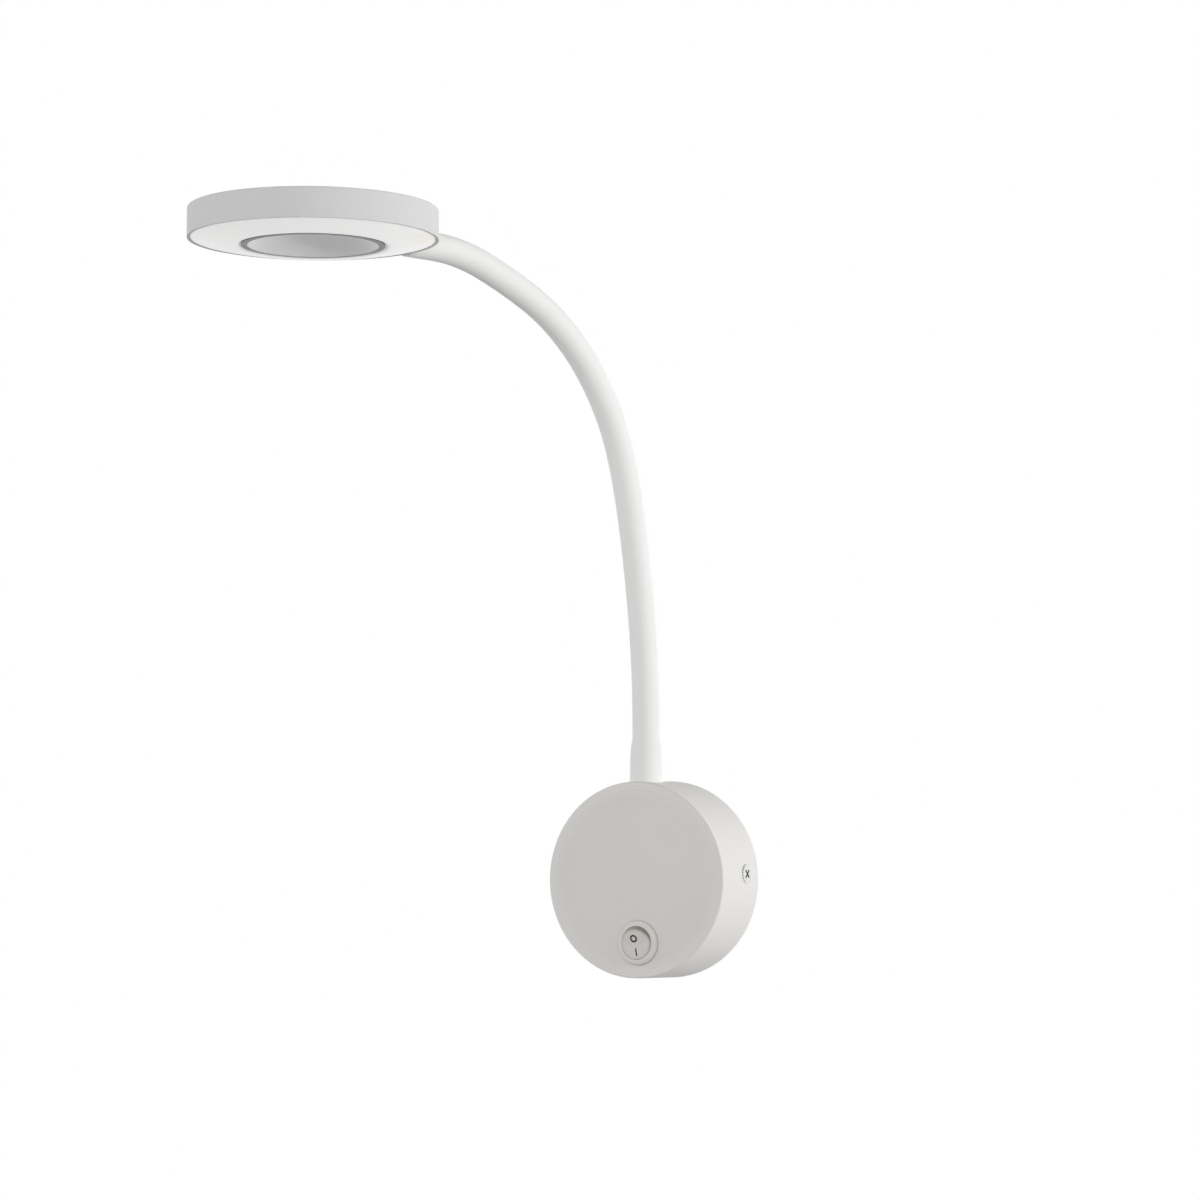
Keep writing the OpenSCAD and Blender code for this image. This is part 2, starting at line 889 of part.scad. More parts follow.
module light_ring() {
    color(opal_white)
        at_head()
            difference() {
                rotate_extrude()
                    union() {
                        intersection() {
                            translate([face_x, face_z])
                                difference() {
                                    circle(ring_bulge_r, $fn = 720);
                                    circle(ring_bulge_r - ring_t, $fn = 720);
                                }
                            translate([ring_roll_r, -ring_drop - 2])
                                square([face_run, ring_drop + 4]);
                        }
                        // skirt up inside the head's wall
                        translate([ring_r - ring_t, ring_edge_z])
                            square([ring_t, 5]);
                        // rolled inner edge and the lip that the dish holds
                        intersection() {
                            translate([ring_roll_r, lip_z])
                                difference() {
                                    circle(roll_r);
                                    circle(roll_r - ring_t);
                                }
                            translate([ring_roll_r - roll_r, lip_z - roll_r])
                                square([roll_r + 0.15, roll_r]);
                        }
                        translate([trim_d / 2 - 0.7, lip_z])
                            square([ring_roll_r - trim_d / 2 + 0.2, ring_t]);
                    }
                // notch in the skirt around the nut's seat
                translate([-head_r, -nut_pad_w / 2 - 0.6, nut_pad_z - 0.6])
                    cube([10, nut_pad_w + 1.2, 6.2]);
            }
}

cap_r = (dish_edge_r * dish_edge_r + dish_depth * dish_depth) / (2 * dish_depth);
cap_z = dish_z + dish_depth - cap_r;

// bowl whose rim fills the trim ring's hole, with a flange behind the ring
module centre_dish() {
    flange_top = lip_z - seat;
    skirt_r = boss_in_r - hole_gap;
    color(dish_grey)
        at_head()
            rotate_extrude()
                difference() {
                    union() {
                        intersection() {
                            translate([0, cap_z])
                                circle(cap_r + dish_t, $fn = 360);
                            translate([0, dish_z])
                                square([dish_edge_r, dish_depth + 3]);
                        }
                        translate([dish_edge_r - 1, dish_z])
                            square([dish_rim_r - dish_edge_r + 1, flange_top - dish_z]);
                        translate([dish_edge_r - 1, flange_z])
                            square([trim_d / 2 + 0.1 - dish_edge_r + 1, flange_top - flange_z]);
                        // skirt and bead that snap into the head
                        translate([skirt_r - 1.5, flange_z])
                            square([1.5, 7.4]);
                        translate([skirt_r - 0.5, 4.5])
                            square([1, 1]);
                    }
                    translate([0, cap_z])
                        circle(cap_r, $fn = 360);
                }
}

module trim_ring() {
    color(dark_grey)
        at_head()
            translate([0, 0, trim_top - trim_t])
                pipe(trim_d / 2, trim_in_d / 2, trim_t);
}

base_housing();
wall_plate();
cable_bush();
lock_screw_right();
lock_screw_left();
terminal_block();
led_driver();
driver_pad();
base_wires();
switch_body();
switch_terminals();
switch_rocker();
switch_plunger();
switch_lever();
root_ferrule();
root_washer();
root_nut();
root_coil();
root_sleeve();
neck_sleeve(1);  // neck_sleeve_1
neck_sleeve(2);  // neck_sleeve_2
neck_sleeve(3);  // neck_sleeve_3
neck_sleeve(4);  // neck_sleeve_4
neck_sleeve(5);  // neck_sleeve_5
neck_sleeve(6);  // neck_sleeve_6
neck_sleeve(7);  // neck_sleeve_7
neck_sleeve(8);  // neck_sleeve_8
neck_sleeve(9);  // neck_sleeve_9
neck_coil(1);  // neck_coil_1
neck_coil(2);  // neck_coil_2
neck_coil(3);  // neck_coil_3
neck_coil(4);  // neck_coil_4
neck_coil(5);  // neck_coil_5
neck_coil(6);  // neck_coil_6
neck_coil(7);  // neck_coil_7
neck_coil(8);  // neck_coil_8
neck_coil(9);  // neck_coil_9
neck_lead();
head_sleeve();
head_ferrule();
head_nut();
head_housing();
led_board();
led_chips();
light_ring();
centre_dish();
trim_ring();
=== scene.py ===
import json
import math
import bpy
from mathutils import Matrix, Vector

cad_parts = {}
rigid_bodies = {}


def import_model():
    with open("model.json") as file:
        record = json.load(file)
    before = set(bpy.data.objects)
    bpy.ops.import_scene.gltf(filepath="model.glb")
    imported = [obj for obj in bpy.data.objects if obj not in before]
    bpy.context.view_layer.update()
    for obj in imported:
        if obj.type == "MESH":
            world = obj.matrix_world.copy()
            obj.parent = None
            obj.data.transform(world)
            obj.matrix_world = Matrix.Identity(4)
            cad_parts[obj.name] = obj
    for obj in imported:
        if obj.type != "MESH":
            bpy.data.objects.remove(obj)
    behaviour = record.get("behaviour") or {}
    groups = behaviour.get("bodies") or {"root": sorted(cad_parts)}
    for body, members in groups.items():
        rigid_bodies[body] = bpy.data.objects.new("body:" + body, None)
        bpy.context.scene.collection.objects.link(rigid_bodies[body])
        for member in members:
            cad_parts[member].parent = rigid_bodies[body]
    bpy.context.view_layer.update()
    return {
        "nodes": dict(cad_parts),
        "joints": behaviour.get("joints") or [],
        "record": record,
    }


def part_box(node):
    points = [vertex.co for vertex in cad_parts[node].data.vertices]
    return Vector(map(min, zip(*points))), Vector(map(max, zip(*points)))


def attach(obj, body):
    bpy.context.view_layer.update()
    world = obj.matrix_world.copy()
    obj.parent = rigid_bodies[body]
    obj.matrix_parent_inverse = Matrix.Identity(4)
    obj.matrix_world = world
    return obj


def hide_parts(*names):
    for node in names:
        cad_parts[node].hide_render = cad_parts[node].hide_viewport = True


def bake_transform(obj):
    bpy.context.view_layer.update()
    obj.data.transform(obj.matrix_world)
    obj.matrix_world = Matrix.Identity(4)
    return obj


bl_info = {
    "name": "Wall lamp on a flexible neck",
    "version": (1, 0, 0),
    "blender": (4, 5, 0),
    "location": "3D View > Sidebar > Wall lamp",
    "description": "Dresses the lamp's solids with its sleeve, screws, marks and finishes",
    "category": "Object",
}

import bmesh
import bpy
from bpy.props import FloatProperty, FloatVectorProperty, IntProperty, PointerProperty
from mathutils import Matrix, Vector
from mathutils.bvhtree import BVHTree

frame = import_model()

MM = 0.001


# kinds of settings


def length(name, description, default):
    """A property for a length in metres."""
    return FloatProperty(
        name=name, description=description, default=default, min=0.0, unit="LENGTH", precision=5
    )


def coordinate(name, description, default):
    """A property for a coordinate in metres, which may be negative."""
    return FloatProperty(name=name, description=description, default=default, unit="LENGTH", precision=5)


def point(name, description, default):
    """A property for a place in metres."""
    return FloatVectorProperty(
        name=name, description=description, default=default, size=3, subtype="TRANSLATION", unit="LENGTH",
        precision=5,
    )


def angle(name, description, degrees):
    """A property for an angle, written here in degrees."""
    return FloatProperty(name=name, description=description, default=math.radians(degrees), subtype="ANGLE")


def count(name, description, default):
    """A property for a number of equal things."""
    return IntProperty(name=name, description=description, default=default, min=3)


def colour(name, description, default):
    """A property for a colour, in linear values."""
    return FloatVectorProperty(
        name=name, description=description, default=default, size=3, min=0.0, max=1.0, subtype="COLOR"
    )


def number(name, description, default, high=1.0):
    """A property for a plain number from 0 up to a highest one."""
    return FloatProperty(name=name, description=description, default=default, min=0.0, max=high)


class LampNeckSettings(bpy.types.PropertyGroup):
    """Sizes of the sleeve and of the lead inside it."""

    plain_radius: length("Plain radius", "Radius of the sleeve along the neck", 7.0 * MM)
    sleeve_wall: length("Sleeve wall", "Thickness of the silicone sleeve", 1.8 * MM)
    sleeve_sides: count("Sleeve sides", "Faces around the sleeve", 72)
    ring_step: length("Ring step", "Distance between rings of faces along the sleeve", 1.7 * MM)
    square_end: length("Square end", "Distance of the last ring but one from the end of a length", 0.1 * MM)
    collar_top: length("Collar top", "Radius of the sleeve at the ferrule's upper end", 8.0 * MM)
    collar_height: length("Collar height", "Height at which the swelling starts to fade", 16.5 * MM)
    shoulder: length("Shoulder", "Length over which the swelling fades", 6.5 * MM)
    flex_foot: length("Flex at the foot", "Length that bends below the first joint", 11.2 * MM)
    flex_head: length("Flex at the head", "Length that bends past the last joint", 9.5 * MM)
    flex_margin: length("Flex margin", "End of a length that stays rigid and meets its neighbour", 1.3 * MM)
    lead_radius: length("Lead radius", "Radius of the low-voltage lead", 2.0 * MM)
    lead_sides: count("Lead sides", "Faces around the lead", 20)
    lead_step: length("Lead step", "Distance between rings of faces along the lead", 3.4 * MM)


class LampScrewSettings(bpy.types.PropertyGroup):
    """Sizes of the two side screws and the terminal screws."""

    lobes: count("Knurl lobes", "Lobes around a side screw's head", 20)
    lobe_depth: length("Lobe depth", "Half of a lobe's size along the head's radius", 0.62 * MM)
    lobe_width: length("Lobe width", "Half of a lobe's size around the head", 0.52 * MM)
    lobe_inset: length("Lobe inset", "Distance of the lobes from the head's top", 0.04 * MM)
    lobe_lift: length("Lobe lift", "Distance of the lobes from the head's underside", 0.02 * MM)
    groove_depth: length("Groove depth", "Depth of the grooves between the lobes", 0.5 * MM)
    head_height: length("Head height", "Height of a side screw's head", 0.95 * MM)
    head_edge: length("Head edge", "Bevel around the top of a side screw's head", 0.12 * MM)
    head_sides: count("Head sides", "Faces around a side screw's head and shank", 80)
    sink: length("Sink", "How much deeper a side screw sits than its plain solid", 0.85 * MM)
    recess_length: length("Recess length", "Length of the cross recess from tip to tip", 5.8 * MM)
    recess_width: length("Recess width", "Width of an arm of the cross recess", 1.1 * MM)
    recess_depth: length("Recess depth", "Depth of the cross recess", 0.8 * MM)
    recess_spare: length("Recess spare", "How far the recess's cutter stands above the head", 0.2 * MM)
    thread_pitch: length("Thread pitch", "Distance between turns of the thread", 0.7 * MM)
    thread_radius: length("Thread radius", "Radius of the thread's ridge", 0.26 * MM)
    thread_start: length("Thread start", "Distance of the thread from a side screw's tip", 0.6 * MM)
    thread_spare: length("Thread spare", "Length of the shank that has no thread", 2.5 * MM)
    shank_radius: length("Shank radius", "Radius of a side screw's shank", 1.9 * MM)
    tip_bevel: length("Tip bevel", "Length of the bevel at a side screw's tip", 0.5 * MM)
    tip_share: number("Tip share", "Width of a side screw's tip, as a share of its shank", 0.7)
    pole_radius: length("Pole screw radius", "Radius of a terminal screw", 1.85 * MM)
    pole_edge: length("Pole screw edge", "Bevel around the top of a terminal screw", 0.3 * MM)
    pole_height: length("Pole screw height", "Height of a terminal screw", 4.0 * MM)
    pole_sides: count("Pole screw sides", "Faces around a terminal screw", 32)
    pole_spacing: length("Pole spacing", "Distance between the terminal block's poles", 10.0 * MM)
    pole_seat: length("Pole seat", "Height of a terminal screw above the block's foot", 6.2 * MM)
    slot_width: length("Slot width", "Width of a terminal screw's slot", 0.7 * MM)


class LampSwitchSettings(bpy.types.PropertyGroup):
    """Sizes of the rocker and its marks."""

    rocker_radius: length("Rocker radius", "Radius of the rocker's round sides", 8.55 * MM)
    rocker_sides: count("Rocker sides", "Faces around the rocker", 112)
    rocker_rings: count("Rocker rings", "Rings of faces from the rocker's middle to its skirt", 72)
    valley: length("Valley", "Height of the rocker's middle above its pivot", 2.1 * MM)
    valley_round: length("Valley round", "Softness of the rocker's middle line", 1.0 * MM)
    slope: angle("Slope", "Slope of each half of the rocker", 10.0)
    rim_round: length("Rim round", "Softness of the rocker's edge", 0.7 * MM)
    skirt: length("Skirt", "Depth of the rocker's sides below its pivot", 3.4 * MM)
    pin_radius: length("Pin radius", "Radius of the rocker's pivot pins", 0.7 * MM)
    pin_sides: count("Pin sides", "Faces around a pivot pin", 24)
    stem_radius: length("Stem radius", "Radius of the stem that holds the plunger", 1.9 * MM)
    stem_length: length("Stem length", "Reach of the stem below the pivot", 6.0 * MM)
    stem_root: length("Stem root", "How far the stem reaches into the rocker", 0.5 * MM)
    stem_sides: count("Stem sides", "Faces around the stem", 40)
    ring_radius: length("Ring radius", "Outer radius of the ring mark", 1.95 * MM)
    ring_stroke: length("Ring stroke", "Width of the ring mark's line", 0.86 * MM)
    ring_up: coordinate("Ring up", "Height of the ring mark above the pivot", 2.35 * MM)
    ring_across: coordinate("Ring across", "Ring mark to the right of the pivot", -0.6 * MM)
    ring_steps: count("Ring steps", "Faces around the ring mark", 56)
    bar_length: length("Bar length", "Length of the bar mark", 4.0 * MM)
    bar_width: length("Bar width", "Width of the bar mark", 0.7 * MM)
    bar_up: coordinate("Bar up", "Height of the bar mark above the pivot", -4.6 * MM)
    bar_across: coordinate("Bar across", "Bar mark to the right of the pivot", -0.65 * MM)
    bar_steps: count("Bar steps", "Faces along the bar mark", 24)
    bar_spread: length("Bar spread", "What the ink adds to each side of the bar mark", 0.02 * MM)
    mark_rise: length("Mark rise", "Height of a mark above the rocker", 0.04 * MM)
    mark_root: length("Mark root", "Depth of a mark below the rocker's face", 0.12 * MM)
    # painted shade along the rocker's rim, deepest on the upper right
    soil_width: length("Soil width", "Width of the soil along the rocker's rim", 1.6 * MM)
    soil_turn: angle("Soil turn", "Where along the rim the soil is thickest, from the right upwards", 40.0)
    soil_least: number("Soil least", "Share of the soil on the far side of the rim", 0.15)


class LampFinishSettings(bpy.types.PropertyGroup):
    """Colours of the lamp's finishes."""

    paint: colour("Drum paint", "Powder coat of the drum", (0.835, 0.822, 0.80))
    # head_paint: the drum's white powder coat made darker, painted shade on the head
    head_paint: colour("Head paint", "Powder coat of the head", (0.745, 0.745, 0.743))
    silicone: colour("Silicone", "Sleeve of the neck", (0.935, 0.934, 0.923))
    opal: colour("Opal", "Light ring", (0.95, 0.95, 0.945))
    dish: colour("Dish", "Dish in the middle of the head", (0.92, 0.92, 0.93))
    trim: colour("Trim", "Dark ring around the dish", (0.21, 0.21, 0.215))
    switch: colour("Switch", "Switch body and bezel", (0.83, 0.81, 0.785))
    rocker: colour("Rocker", "Rocker of the switch", (0.77, 0.75, 0.725))
    # soil: the colour of painted shade in the seams and along the rocker's rim; as a coat's factor, the soil
    # of its handling marks
    soil: colour("Soil", "Soil in the seams", (0.30, 0.26, 0.215))
    mark: colour("Marks", "Print on the rocker", (0.012, 0.012, 0.013))
    zinc: colour("Zinc", "Plated plate and ferrules", (0.62, 0.63, 0.65))
    nickel: colour("Nickel", "Side screws", (0.79, 0.788, 0.78))
    # recess: near-black painted shade in a side screw's cross recess and knurl grooves
    recess: colour("Recess", "Recess and grooves of a side screw", (0.05, 0.05, 0.05))
    steel: colour("Steel", "Spring wire of the neck", (0.40, 0.41, 0.43))
    brass: colour("Brass", "Switch terminals and contacts", (0.64, 0.43, 0.14))
    nylon: colour("Nylon", "Terminal block and driver housing", (0.80, 0.79, 0.75))
    rubber: colour("Rubber", "Cable bush and wires", (0.022, 0.022, 0.023))
    foam: colour("Foam", "Pad under the driver", (0.10, 0.10, 0.105))
    board: colour("Board", "Solder mask of the light board", (0.78, 0.78, 0.76))
    phosphor: colour("Phosphor", "Light-emitting chips", (0.75, 0.52, 0.08))


class LampMarkSettings(bpy.types.PropertyGroup):
    """Turned lines, painted shade in the seams and beside the dark ring, and fading on the finishes."""

    rim_reach: length("Rim reach", "How far from the drum's rim its paint starts to lighten", 9.0 * MM)
    rim_fade: length("Rim fade", "Distance over which the drum's paint lightens", 6.0 * MM)
    rim_tone: number("Rim tone", "Tone of the lighter paint against the drum's own", 1.02, 2.0)
    turned_insets: FloatVectorProperty(
        name="Turned lines", description="Distances of the turned lines from the drum's rim",
        default=(1.3 * MM, 3.0 * MM, 4.9 * MM), size=3, unit="LENGTH", precision=5,
    )
    turned_width: length("Turned width", "Half of a turned line's width", 0.5 * MM)
    turned_tone: number("Turned tone", "Tone of a turned line against the drum's paint", 0.82)
    turned_strength: number("Turned strength", "How clearly a turned line shows", 0.22)
    # painted shade where the switch, the neck's foot and the side screws meet the drum; hug and foot_hug keep
    # it to the face it lies on
    switch_soil: number("Switch soil", "How clearly the soil around the switch shows", 0.55)
    switch_soil_width: length("Switch soil width", "Half the width of the soil around the switch", 0.7 * MM)
    neck_soil: number("Neck soil", "How clearly the soil around the neck's foot shows", 0.3)
    neck_soil_width: length("Neck soil width", "Half the width of the soil around the neck", 0.8 * MM)
    screw_soil: number("Screw soil", "How clearly the soil around a side screw shows", 0.3)
    screw_soil_width: length("Screw soil width", "Half the width of the soil around a screw", 0.6 * MM)
    # painted shade in the seam between the head's rim and the light ring
    head_soil: number("Head soil", "How clearly the soil around the light ring shows", 0.8)
    head_soil_width: length("Head soil width", "Half the width of the soil around the ring", 0.8 * MM)
    hug: number("Hug", "How closely soil keeps to the face that it lies on", 8.0, 20.0)
    foot_hug: number("Foot hug", "How closely the soil at the neck's foot keeps to the drum", 0.5, 20.0)
    # painted shade on the light ring beside the dark ring
    opal_tone: number("Opal tone", "Tone of the light ring beside the dark ring", 0.78)
    opal_fade: length("Opal fade", "Distance over which the light ring gets lighter", 4.5 * MM)
    # a yellow spot near one end of the light ring, in its colour and its faint glow
    yellow: colour("Yellow", "What yellowing leaves of the light ring's colour", (0.98, 0.93, 0.83))
    yellow_turn: angle("Yellow turn", "Where the light ring is yellow, around the head from the neck", -52.0)
    yellow_reach: length("Yellow reach", "Radius of the yellow spot's middle", 3.0 * MM)
    yellow_fade: length("Yellow fade", "Distance over which the yellow fades", 18.0 * MM)
    trim_edge: length("Trim edge", "Radius up to which the trim ring has the dish's coat", 31.1 * MM)
    trim_fade: length("Trim fade", "Width of the line between the two coats", 0.15 * MM)


class LampStageSettings(bpy.types.PropertyGroup):
    """Camera, lights and floor."""

    camera_place: point("Camera place", "Where the camera stands", (0.83267, -1.62582, 0.01632))
    camera_pitch: angle("Camera pitch", "Tilt of the camera above the horizon", 4.04)
    camera_yaw: angle("Camera yaw", "Turn of the camera to the left", 28.26)
    camera_lens: number("Lens", "Focal length in millimetres", 105.2, 400.0)
    camera_sensor: number("Sensor", "Width of the sensor in millimetres", 36.0, 100.0)
    camera_near: length("Near", "Distance at which the camera starts to see", 0.05)
    camera_far: length("Far", "Distance at which the camera stops seeing", 60.0)
    horizon: number("Horizon", "Strength of the room's light at eye level", 1.88, 4.0)
    zenith: number("Zenith", "Strength of the room's light from above and below", 0.12, 4.0)
    fade: number("Fade", "How fast the room's light fades away from eye level", 1.7, 8.0)
    key_place: point("Key place", "Where the light on the right stands", (1.74, 0.42, 0.0))
    key_aim: point("Key aim", "What the light on the right points at", (0.0, -0.1, 0.1))
    key_size: length("Key size", "Width of the light on the right", 0.2)
    key_power: FloatProperty(
        name="Key power", description="Power of the light on the right", default=8.6, min=0.0, unit="POWER"
    )
    floor_height: coordinate("Floor height", "Height of the floor under the lamp", -0.11)
    floor_size: length("Floor size", "Width of the floor", 8.0)
    floor_tone: number("Floor tone", "Paleness of the floor", 0.72)


class LampSettings(bpy.types.PropertyGroup):
    """Everything that a user would change."""

    neck: PointerProperty(type=LampNeckSettings)
    screws: PointerProperty(type=LampScrewSettings)
    switch: PointerProperty(type=LampSwitchSettings)
    finish: PointerProperty(type=LampFinishSettings)
    marks: PointerProperty(type=LampMarkSettings)
    stage: PointerProperty(type=LampStageSettings)


def settings():
    """The lamp's settings in this scene."""
    return bpy.context.scene.wall_lamp


# places taken from the solids


def middle_of(node, **fixed):
    """The middle of a node's box, with some coordinates set."""
    low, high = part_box(node)
    middle = (low + high) / 2
    for axis, value in fixed.items():
        setattr(middle, axis, value)
    return middle


def half_size(node, axis):
    """Half of a node's box along one axis."""
    low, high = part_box(node)
    return (getattr(high, axis) - getattr(low, axis)) / 2


class NeckLine:
    """The line along the middle of the neck, from the drum to the head, by distance.

    It is straight at both ends. From joint to joint it is an arc that goes on from the one before.
    """

    def __init__(self):
        found = [j for j in frame["joints"] if j["name"].startswith("neck_")]
        found.sort(key=lambda j: int(j["name"].rsplit("_", 1)[1]))
        self.joints = found
        self.places = [Vector(j["pos_m"]) for j in found]
        out = self.places[-1] - self.places[0]
        self.out = Vector((out.x, out.y, 0.0)).normalized()
        self.axis = self.places[0].copy()
        self.axis.z = 0.0
        self.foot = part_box("root_sleeve")[0].z
        self.arcs = []
        lean = 0.0
        travel = self.places[0].z - self.foot
        self.at_joint = [travel]
        for first, last in zip(self.places, self.places[1:]):
            step = last - first
            chord = math.atan2(step.dot(self.out), step.z)
            turn = 2.0 * (chord - lean)
            reach = step.length * (turn / 2.0) / math.sin(turn / 2.0)
            self.arcs.append((travel, reach, first, lean, turn))
            lean += turn
            travel += reach
            self.at_joint.append(travel)
        self.end_lean = lean

    def at(self, travel):
        """The point at a distance along the line above the drum."""
        if travel <= self.at_joint[0]:
            return self.axis + Vector((0.0, 0.0, self.foot + travel))
        for start, reach, first, lean, turn in self.arcs:
            if travel <= start + reach:
                part = turn * (travel - start) / reach
                radius = reach / turn
                side = radius * (math.cos(lean) - math.cos(lean + part))
                up = radius * (math.sin(lean + part) - math.sin(lean))
                return first + self.out * side + Vector((0.0, 0.0, up))
        ahead = self.out * math.sin(self.end_lean) + Vector((0.0, 0.0, math.cos(self.end_lean)))
        return self.places[-1] + ahead * (travel - self.at_joint[-1])

    def row(self, first, last, step):
        """Distances about a step apart, and one close to each end, which keeps the end square to the line."""
        square = settings().neck.square_end
        steps = max(2, round((last - first) / step))
        between = [first + (last - first) * i / steps for i in range(1, steps)]
        return [first, first + square, *between, last - square, last]


def switch_frame():
    """The rocker's pivot, its axis to the right, its upward and its outward direction, as the lamp rests."""
    rock = [j for j in frame["joints"] if j["name"] == "switch_rock"][0]
    pivot = Vector(rock["pos_m"])
    across = Vector(rock["axis"]).normalized()
    front = Vector((0.0, -1.0, 0.0))
    return pivot, across, front.cross(across).normalized(), front


# shader groups


def link_all(tree, *pairs):
    """Links each output socket to its input socket."""
    for out_socket, in_socket in pairs:
        tree.links.new(out_socket, in_socket)


def feed(tree, value, socket):
    """Links a socket to an input socket, or sets the input to a plain value."""
    if isinstance(value, bpy.types.NodeSocket):
        tree.links.new(value, socket)
    else:
        socket.default_value = value


def math_node(tree, operation, first, second=None, clamp=False):
    """A Math node whose inputs are sockets or numbers."""
    node = tree.nodes.new("ShaderNodeMath")
    node.operation = operation
    node.use_clamp = clamp
    feed(tree, first, node.inputs[0])
    if second is not None:
        feed(tree, second, node.inputs[1])
    return node.outputs[0]


def vector_math(tree, operation, first, second=None):
    """A Vector Math node whose inputs are sockets."""
    node = tree.nodes.new("ShaderNodeVectorMath")
    node.operation = operation
    tree.links.new(first, node.inputs[0])
    if second is not None:
        tree.links.new(second, node.inputs[1])
    return node


def noise(tree, vector, scale, detail=2.0, rough=0.5):
    """A Noise texture whose scale is a socket."""
    node = tree.nodes.new("ShaderNodeTexNoise")
    node.inputs["Detail"].default_value = detail
    node.inputs["Roughness"].default_value = rough
    link_all(tree, (vector, node.inputs["Vector"]), (scale, node.inputs["Scale"]))
    return node.outputs["Fac"]


def label_of(key):
    """The label of a group's socket for a keyword."""
    return key.replace("_", " ").capitalize()


def shader_group(name, outputs, **inputs):
    """A shader group on a Vector with number outputs; an input is a vector where its default is one."""
    tree = bpy.data.node_groups.new(name, "ShaderNodeTree")
    tree.interface.new_socket("Vector", in_out="INPUT", socket_type="NodeSocketVector")
    for key, default in inputs.items():
        kind = "NodeSocketVector" if isinstance(default, tuple) else "NodeSocketFloat"
        socket = tree.interface.new_socket(label_of(key), in_out="INPUT", socket_type=kind)
        socket.default_value = default
    for label in outputs:
        tree.interface.new_socket(label, in_out="OUTPUT", socket_type="NodeSocketFloat")
    return tree, tree.nodes.new("NodeGroupInput").outputs, tree.nodes.new("NodeGroupOutput").inputs


def grain_group():
    """Fine surface of a coat or moulding: peel, grit and tone."""
    tree, given, result = shader_group(
        "Coat grain", ("Height", "Tone"), peel_size=900.0, grit_size=3200.0, grit_share=0.35
    )
    peel = noise(tree, given["Vector"], given["Peel size"], detail=1.0)
    grit = noise(tree, given["Vector"], given["Grit size"], rough=0.6)
    part = math_node(tree, "MULTIPLY", grit, given["Grit share"])
    tone = math_node(tree, "SUBTRACT", math_node(tree, "ADD", peel, grit), 1.0)
    link_all(tree, (math_node(tree, "ADD", peel, part), result["Height"]), (tone, result["Tone"]))
    return tree


def handling_group():
    """Broad, soft marks of use: where a hand or cloth has been."""
    tree, given, result = shader_group("Handling marks", ("Mask",), patch_size=22.0, contrast=1.6)
    broad = noise(tree, given["Vector"], given["Patch size"], detail=3.0, rough=0.55)
    centred = math_node(tree, "SUBTRACT", broad, 0.5)
    spread = math_node(tree, "MULTIPLY", centred, given["Contrast"])
    tree.links.new(math_node(tree, "ADD", spread, 0.5, clamp=True), result["Mask"])
    return tree


def specks_group():
    """Small specks and dents, few and far apart."""
    tree, given, result = shader_group("Specks", ("Mask",), per_metre=80.0, size=0.045)
    cells = tree.nodes.new("ShaderNodeTexVoronoi")
    cells.feature = "F1"
    link_all(tree, (given["Vector"], cells.inputs["Vector"]), (given["Per metre"], cells.inputs["Scale"]))
    near = math_node(tree, "DIVIDE", cells.outputs["Distance"], given["Size"])
    tree.links.new(math_node(tree, "SUBTRACT", 1.0, near, clamp=True), result["Mask"])
    return tree


def drawn_group():
    """Long fine lines of drawn or rolled metal along one axis."""
    tree, given, result = shader_group("Drawn lines", ("Height",), stretch=(1.0, 1.0, 0.05), line_size=2400.0)
    scaled = vector_math(tree, "MULTIPLY", given["Vector"], given["Stretch"])
    tree.links.new(noise(tree, scaled.outputs["Vector"], given["Line size"]), result["Height"])
    return tree


def bands_group():
    """A round line about a middle, and what lies outside it; Flat weighs the three axes."""
    tree, given, result = shader_group(
        "Round bands", ("Line", "Outside"),
        middle=(0.0, 0.0, 0.0), flat=(1.0, 1.0, 1.0), radius=10.0 * MM, width=1.0 * MM,
    )
    away = vector_math(tree, "SUBTRACT", given["Vector"], given["Middle"])
    weighed = vector_math(tree, "MULTIPLY", away.outputs["Vector"], given["Flat"])
    reach = vector_math(tree, "LENGTH", weighed.outputs["Vector"]).outputs["Value"]
    past = math_node(tree, "SUBTRACT", reach, given["Radius"])
    steps = math_node(tree, "DIVIDE", past, given["Width"])
    line = math_node(tree, "SUBTRACT", 1.0, math_node(tree, "ABSOLUTE", steps), clamp=True)
    soft = tree.nodes.new("ShaderNodeMapRange")
    soft.interpolation_type = "SMOOTHSTEP"
    link_all(
        tree,
        (line, result["Line"]),
        (steps, soft.inputs["Value"]),
        (soft.outputs["Result"], result["Outside"]),
    )
    return tree


# materials


GROUPS = {}
MATERIALS = {}


